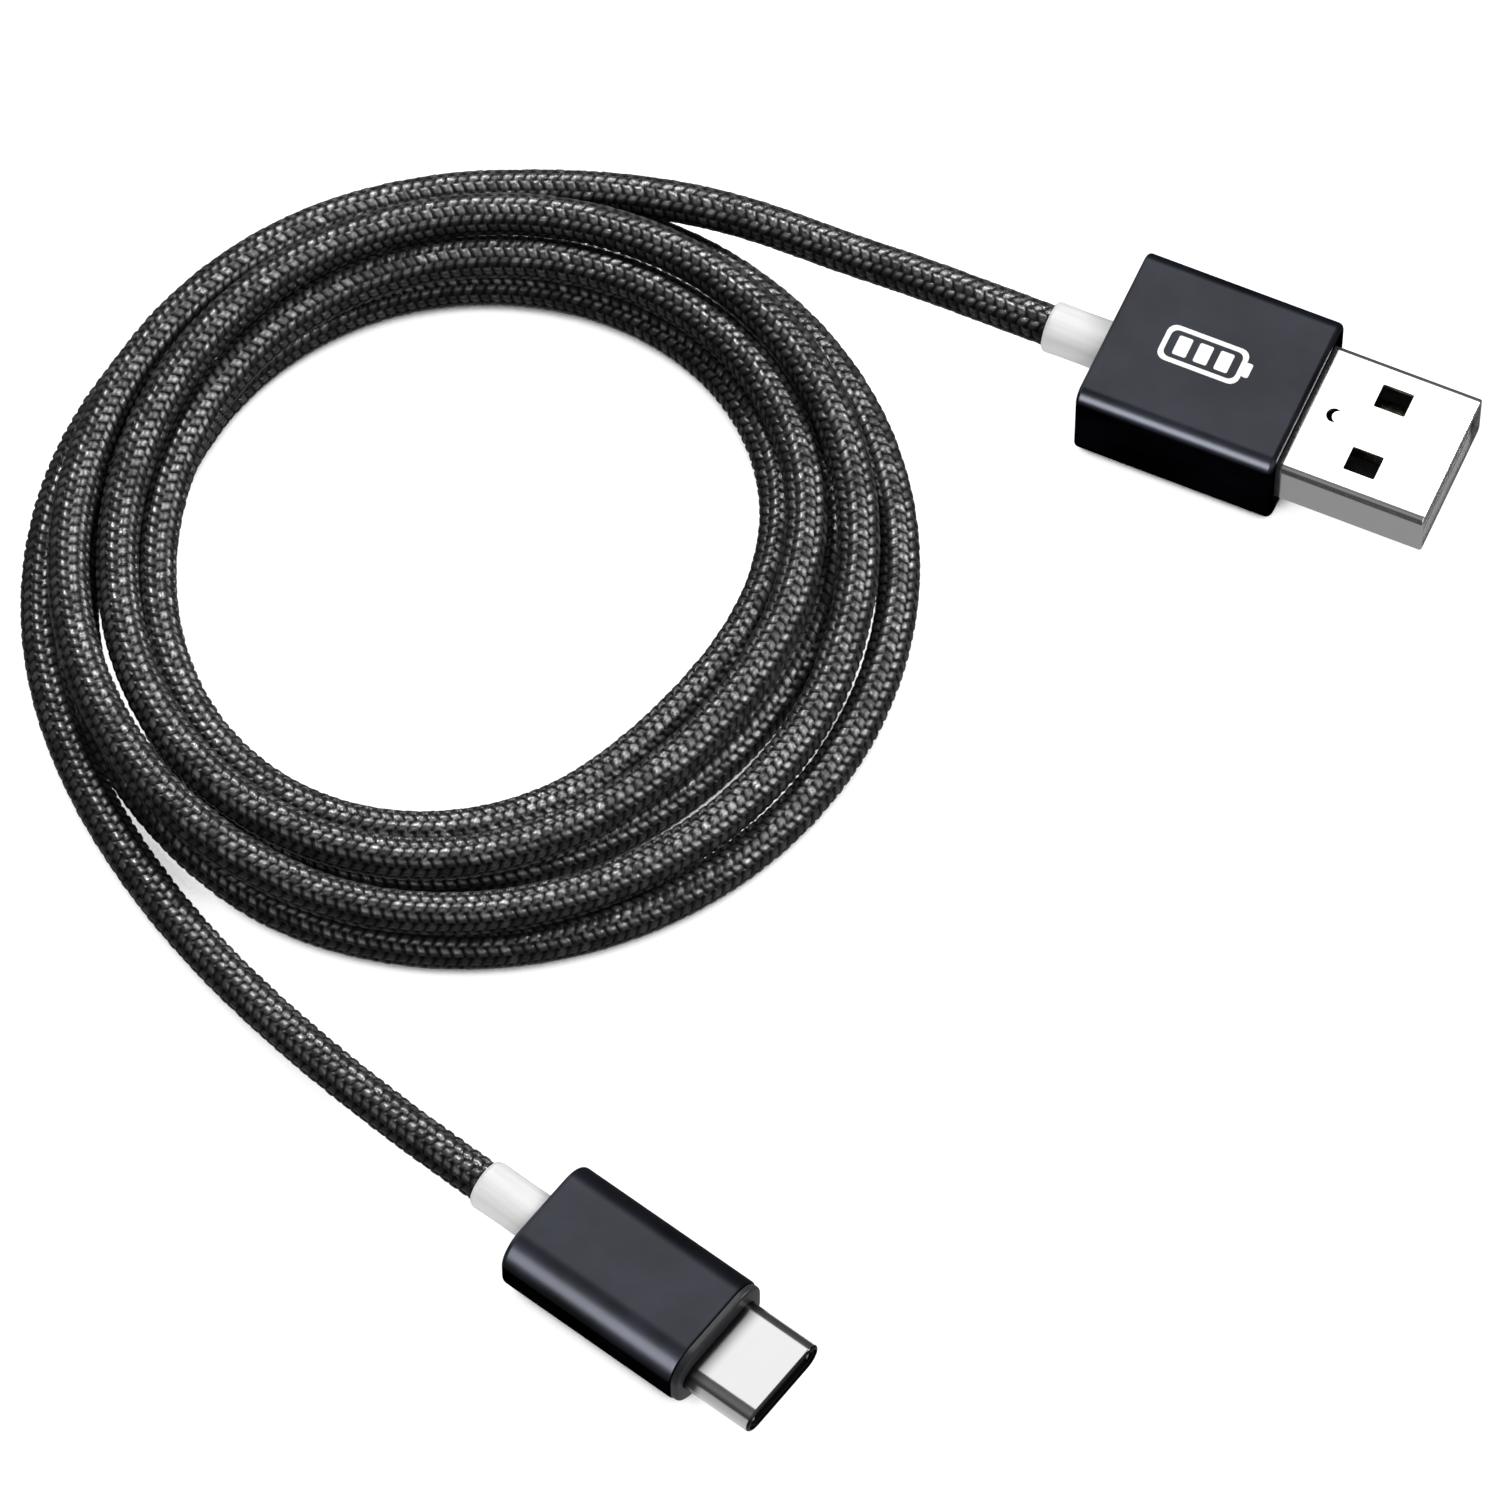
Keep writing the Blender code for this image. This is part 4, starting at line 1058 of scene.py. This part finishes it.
def usb_c(plug, m):
    """USB-C plug."""
    relief_length, relief_radius, flange = C_RELIEF
    front = relief_length + C_HOUSING[0]
    tip = front + C_SHELL_REACH
    size = (C_HOUSING[0] - C_RING_LENGTH - C_RING_GAP, *C_HOUSING[1:])
    case = housing_piece("usb_c_case", plug, relief_length, size, C_CORNER, C_CAVITY, C_HOLE,
                         C_EDGE, C_LIP, m["metal"])
    place_piece(case, "usb_c", "gunmetal", "usb_c_housing")
    boot = relief_piece("usb_c_boot", plug, relief_length, relief_radius, flange, m["rubber"])
    place_piece(boot, "usb_c", "white_rubber", "usb_c_relief")
    ring = tube_piece("usb_c_front_ring", plug, front - C_RING_LENGTH, front, C_RING, C_RING_LIP,
                      m["grey"], FINE_CORNER)
    place_piece(ring, "usb_c", "black_plastic", "usb_c_collar")
    # rings over the reach of the painted shade beside the ring
    stations = [front + C_SHADE_REACH * k / C_SHADE_STEPS for k in range(C_SHADE_STEPS + 1)]
    shell = tube_piece("usb_c_plug_shell", plug, tip - C_SHELL_LENGTH, tip, C_SHELL, C_SHELL_LIP,
                       m["painted_plate"], FINE_CORNER, stations)
    write_attribute(shell, "bright_reach", shell_painted_light(shell, plug, front, tip))
    place_piece(shell, "usb_c", "plated_steel", "usb_c_shell")


def shell_painted_light(shell, plug, front, tip):
    """Painted light on the USB-C shell: painted shade at its root by the ring and at its rim, plain on the
    flats, a pale painted reflection along the sides.
    """
    x, _, z = ((np.array([v.co[:] for v in shell.data.vertices]) / MM - plug.origin) @ plug.axes.T).T
    side = smooth_step((C_SIDE_BAND - np.abs(z)) / C_SIDE_FADE)
    rim = smooth_step((tip - C_RIM_REACH - x) / C_RIM_REACH)
    return (C_FLAT_LEVEL + (1 - C_FLAT_LEVEL) * side) * smooth_step((x - front) / C_SHADE_REACH) * rim


def assign(node, material):
    """Give a carried-over CAD node a better material."""
    node.data.materials.clear()
    node.data.materials.append(material)


def finish_nodes(m):
    """Materials for the CAD nodes that stay."""
    # the USB-A contacts take the darkened contact gold, painted shade for their place inside the shell
    rules = (("_ferrule", "tin"), ("_can", "tin"), ("_board", "board"), ("_resistor", "black"),
             ("_latch", "plate"), ("usb_c_contact", "gold"), ("usb_a_contact", "shaded"),
             ("wire_1", "red"), ("wire_2", "white"), ("wire_3", "green"), ("wire_4", "wire_black"),
             ("_carrier", "insulator"), ("_insert", "black"))
    for name, node in frame["nodes"].items():
        for key, material in rules:
            if key in name:
                assign(node, m[material])


# ================================================================ stage
def look_at(item, target):
    """Turn a light to face a point."""
    direction = Vector(target) - item.location
    item.rotation_mode = "QUATERNION"
    item.rotation_quaternion = direction.to_track_quat("-Z", "Y")


def area_light(name, place, size, power):
    """White square light turned to the middle of the stage."""
    light = bpy.data.lights.new(name, "AREA")
    light.shape = "SQUARE"
    light.size = size
    light.energy = power
    item = bpy.data.objects.new(name, light)
    item.location = place
    bpy.context.scene.collection.objects.link(item)
    look_at(item, (0, 0, 0))
    return item


def lit_pieces(rule):
    """Collection of the pieces whose name holds the rule's text, or lacks it after a minus sign."""
    wanted = not rule.startswith("-")
    group = bpy.data.collections.new("lit" + rule)
    for item in bpy.context.scene.objects:
        named = any(text in item.name for text in rule.lstrip("-").split("|"))
        if item.type == "MESH" and named == wanted:
            group.objects.link(item)
    return group


def studio_world():
    """Grey sky in bands: bright overhead, dark at the horizon, bright again straight below."""
    world = bpy.data.worlds.new("studio")
    bpy.context.scene.world = world
    world.use_nodes = True
    tree = world.node_tree
    place = tree.nodes.new("ShaderNodeTexCoord")
    parts = tree.nodes.new("ShaderNodeSeparateXYZ")
    tree.links.new(place.outputs["Generated"], parts.inputs[0])
    ramp = tree.nodes.new("ShaderNodeValToRGB")
    stops = ramp.color_ramp.elements
    for index, (level, value) in enumerate(SKY_STOPS):
        stop = stops[index] if index < 2 else stops.new(level)
        stop.position = level
        stop.color = (value, value, value, 1.0)
    height = tree.nodes.new("ShaderNodeMapRange")
    height.inputs["From Min"].default_value = SKY_LOWEST
    tree.links.new(parts.outputs["Z"], height.inputs["Value"])
    tree.links.new(height.outputs["Result"], ramp.inputs["Fac"])
    background = tree.nodes["Background"]
    background.inputs["Strength"].default_value = SKY_STRENGTH
    tree.links.new(ramp.outputs["Color"], background.inputs["Color"])


def build_floor():
    """Pale floor that glows evenly, with painted shade from occlusion that darkens it only in the narrow gaps
    between strands.
    """
    s = Shader("stage_floor")
    crevice = s.node("ShaderNodeAmbientOcclusion", samples=CREVICE_SAMPLES)
    crevice.inputs["Distance"].default_value = CREVICE_REACH
    # painted shade: colour and glow fall to black where the occlusion is strong
    open_air = s.ramp(crevice.outputs["AO"], 0.0, 1.0, *CREVICE_RANGE)
    s.feed("Base Color", s.mix(open_air, (0.0, 0.0, 0.0), (FLOOR_COLOUR, FLOOR_COLOUR, FLOOR_COLOUR)))
    s.set("Roughness", 0.9)
    s.set("Specular IOR Level", 0.0)
    s.set("Emission Color", (1.0, 1.0, 1.0, 1.0))
    s.feed("Emission Strength", s.math("MULTIPLY", open_air, FLOOR_GLOW))
    corners = [(x * FLOOR_HALF_SIZE, y * FLOOR_HALF_SIZE, -FLOOR_DROP)
               for x, y in ((-1, -1), (1, -1), (1, 1), (-1, 1))]
    floor = make_mesh("stage_floor", corners, [(0, 1, 2, 3)], s.material)
    floor.visible_glossy = False


def build_lights():
    """Soft lights, each limited to the pieces it is meant for."""
    for name, direction, distance, size, power, receivers in LIGHTS:
        place = Vector(direction).normalized() * distance
        light = area_light(name, place, size, power)
        if receivers:
            light.light_linking.receiver_collection = lit_pieces(receivers)


def build_camera():
    """Camera at its viewing angle, aimed at the middle of the laid-out cable."""
    data = bpy.data.cameras.new("camera")
    data.sensor_width = CAMERA_SENSOR
    data.lens = CAMERA_FOCAL_RATIO * data.sensor_width / 2
    data.clip_start, data.clip_end = CAMERA_CLIP
    camera = bpy.data.objects.new("camera", data)
    target = Vector((*(COIL_CENTRE + CAMERA_OFFSET), 0.0)) * MM
    back = Vector((0, -cos(CAMERA_ELEVATION), sin(CAMERA_ELEVATION)))
    camera.location = target + back * CAMERA_DISTANCE * MM
    bpy.context.scene.collection.objects.link(camera)
    camera.rotation_mode = "QUATERNION"
    camera.rotation_quaternion = (-back).to_track_quat("-Z", "Y")
    bpy.context.scene.camera = camera
    bpy.context.scene.view_settings.view_transform = "Standard"


def main():
    materials = {
        "braid": braid_material(),
        "jacket": plastic_material("jacket_pvc", (0.28, 0.29, 0.31), (0.34, 0.35, 0.37), 0.5),
        "metal": anodised_material(),
        "rubber": relief_material(),
        "plate": plated_material("nickel_plate", 0.95, 0.12, 0.20),
        # plate with painted shade and a painted reflection, read from the shell's stored value
        "painted_plate": plated_material("satin_nickel_plate", 0.92, 0.12, 0.20, "bright_reach"),
        "tin": plated_material("tin_plate", 1.0, 0.25, 0.40),
        "print": plastic_material("white_print", (0.86, 0.86, 0.86), (0.92, 0.92, 0.92), 0.5),
        "black": plastic_material("black_plastic", (0.004, 0.004, 0.005), (0.008, 0.008, 0.009), 0.5, 0.12),
        "dead_black": plastic_material("black_bezel", (0.001, 0.001, 0.001), (0.003, 0.003, 0.003), 0.6, 0.0),
        "insulator": plastic_material("insulator", (0.004, 0.004, 0.004), (0.10, 0.11, 0.10), 0.5),
        "grey": plastic_material("dark_grey_plastic", (0.035, 0.036, 0.040), (0.045, 0.046, 0.050), 0.38),
        "gold": gold_material("gold_flash", (0.92, 0.66, 0.27), (0.80, 0.60, 0.33)),
        # painted shade: a darkened copy of the contact gold, for the USB-A contacts inside the shell
        "shaded": gold_material("shaded_contact", (0.24, 0.21, 0.16), (0.16, 0.15, 0.13)),
        "board": board_material(),
        "red": plastic_material("wire_red", (0.45, 0.02, 0.02), (0.55, 0.03, 0.03), 0.4),
        "white": plastic_material("wire_white", (0.70, 0.70, 0.68), (0.80, 0.80, 0.78), 0.4),
        "green": plastic_material("wire_green", (0.02, 0.25, 0.05), (0.04, 0.32, 0.08), 0.4),
        "wire_black": plastic_material("wire_black", (0.015, 0.015, 0.015), (0.03, 0.03, 0.03), 0.4),
    }
    line = CableLine()
    build_cable(line, materials["braid"], materials["jacket"])
    finish_nodes(materials)
    usb_a(Plug(A_MOUTH, A_HEIGHT, A_YAW), materials)
    usb_c(Plug(C_MOUTH, C_HEIGHT, C_YAW), materials)
    build_floor()
    studio_world()
    build_lights()
    build_camera()


main()
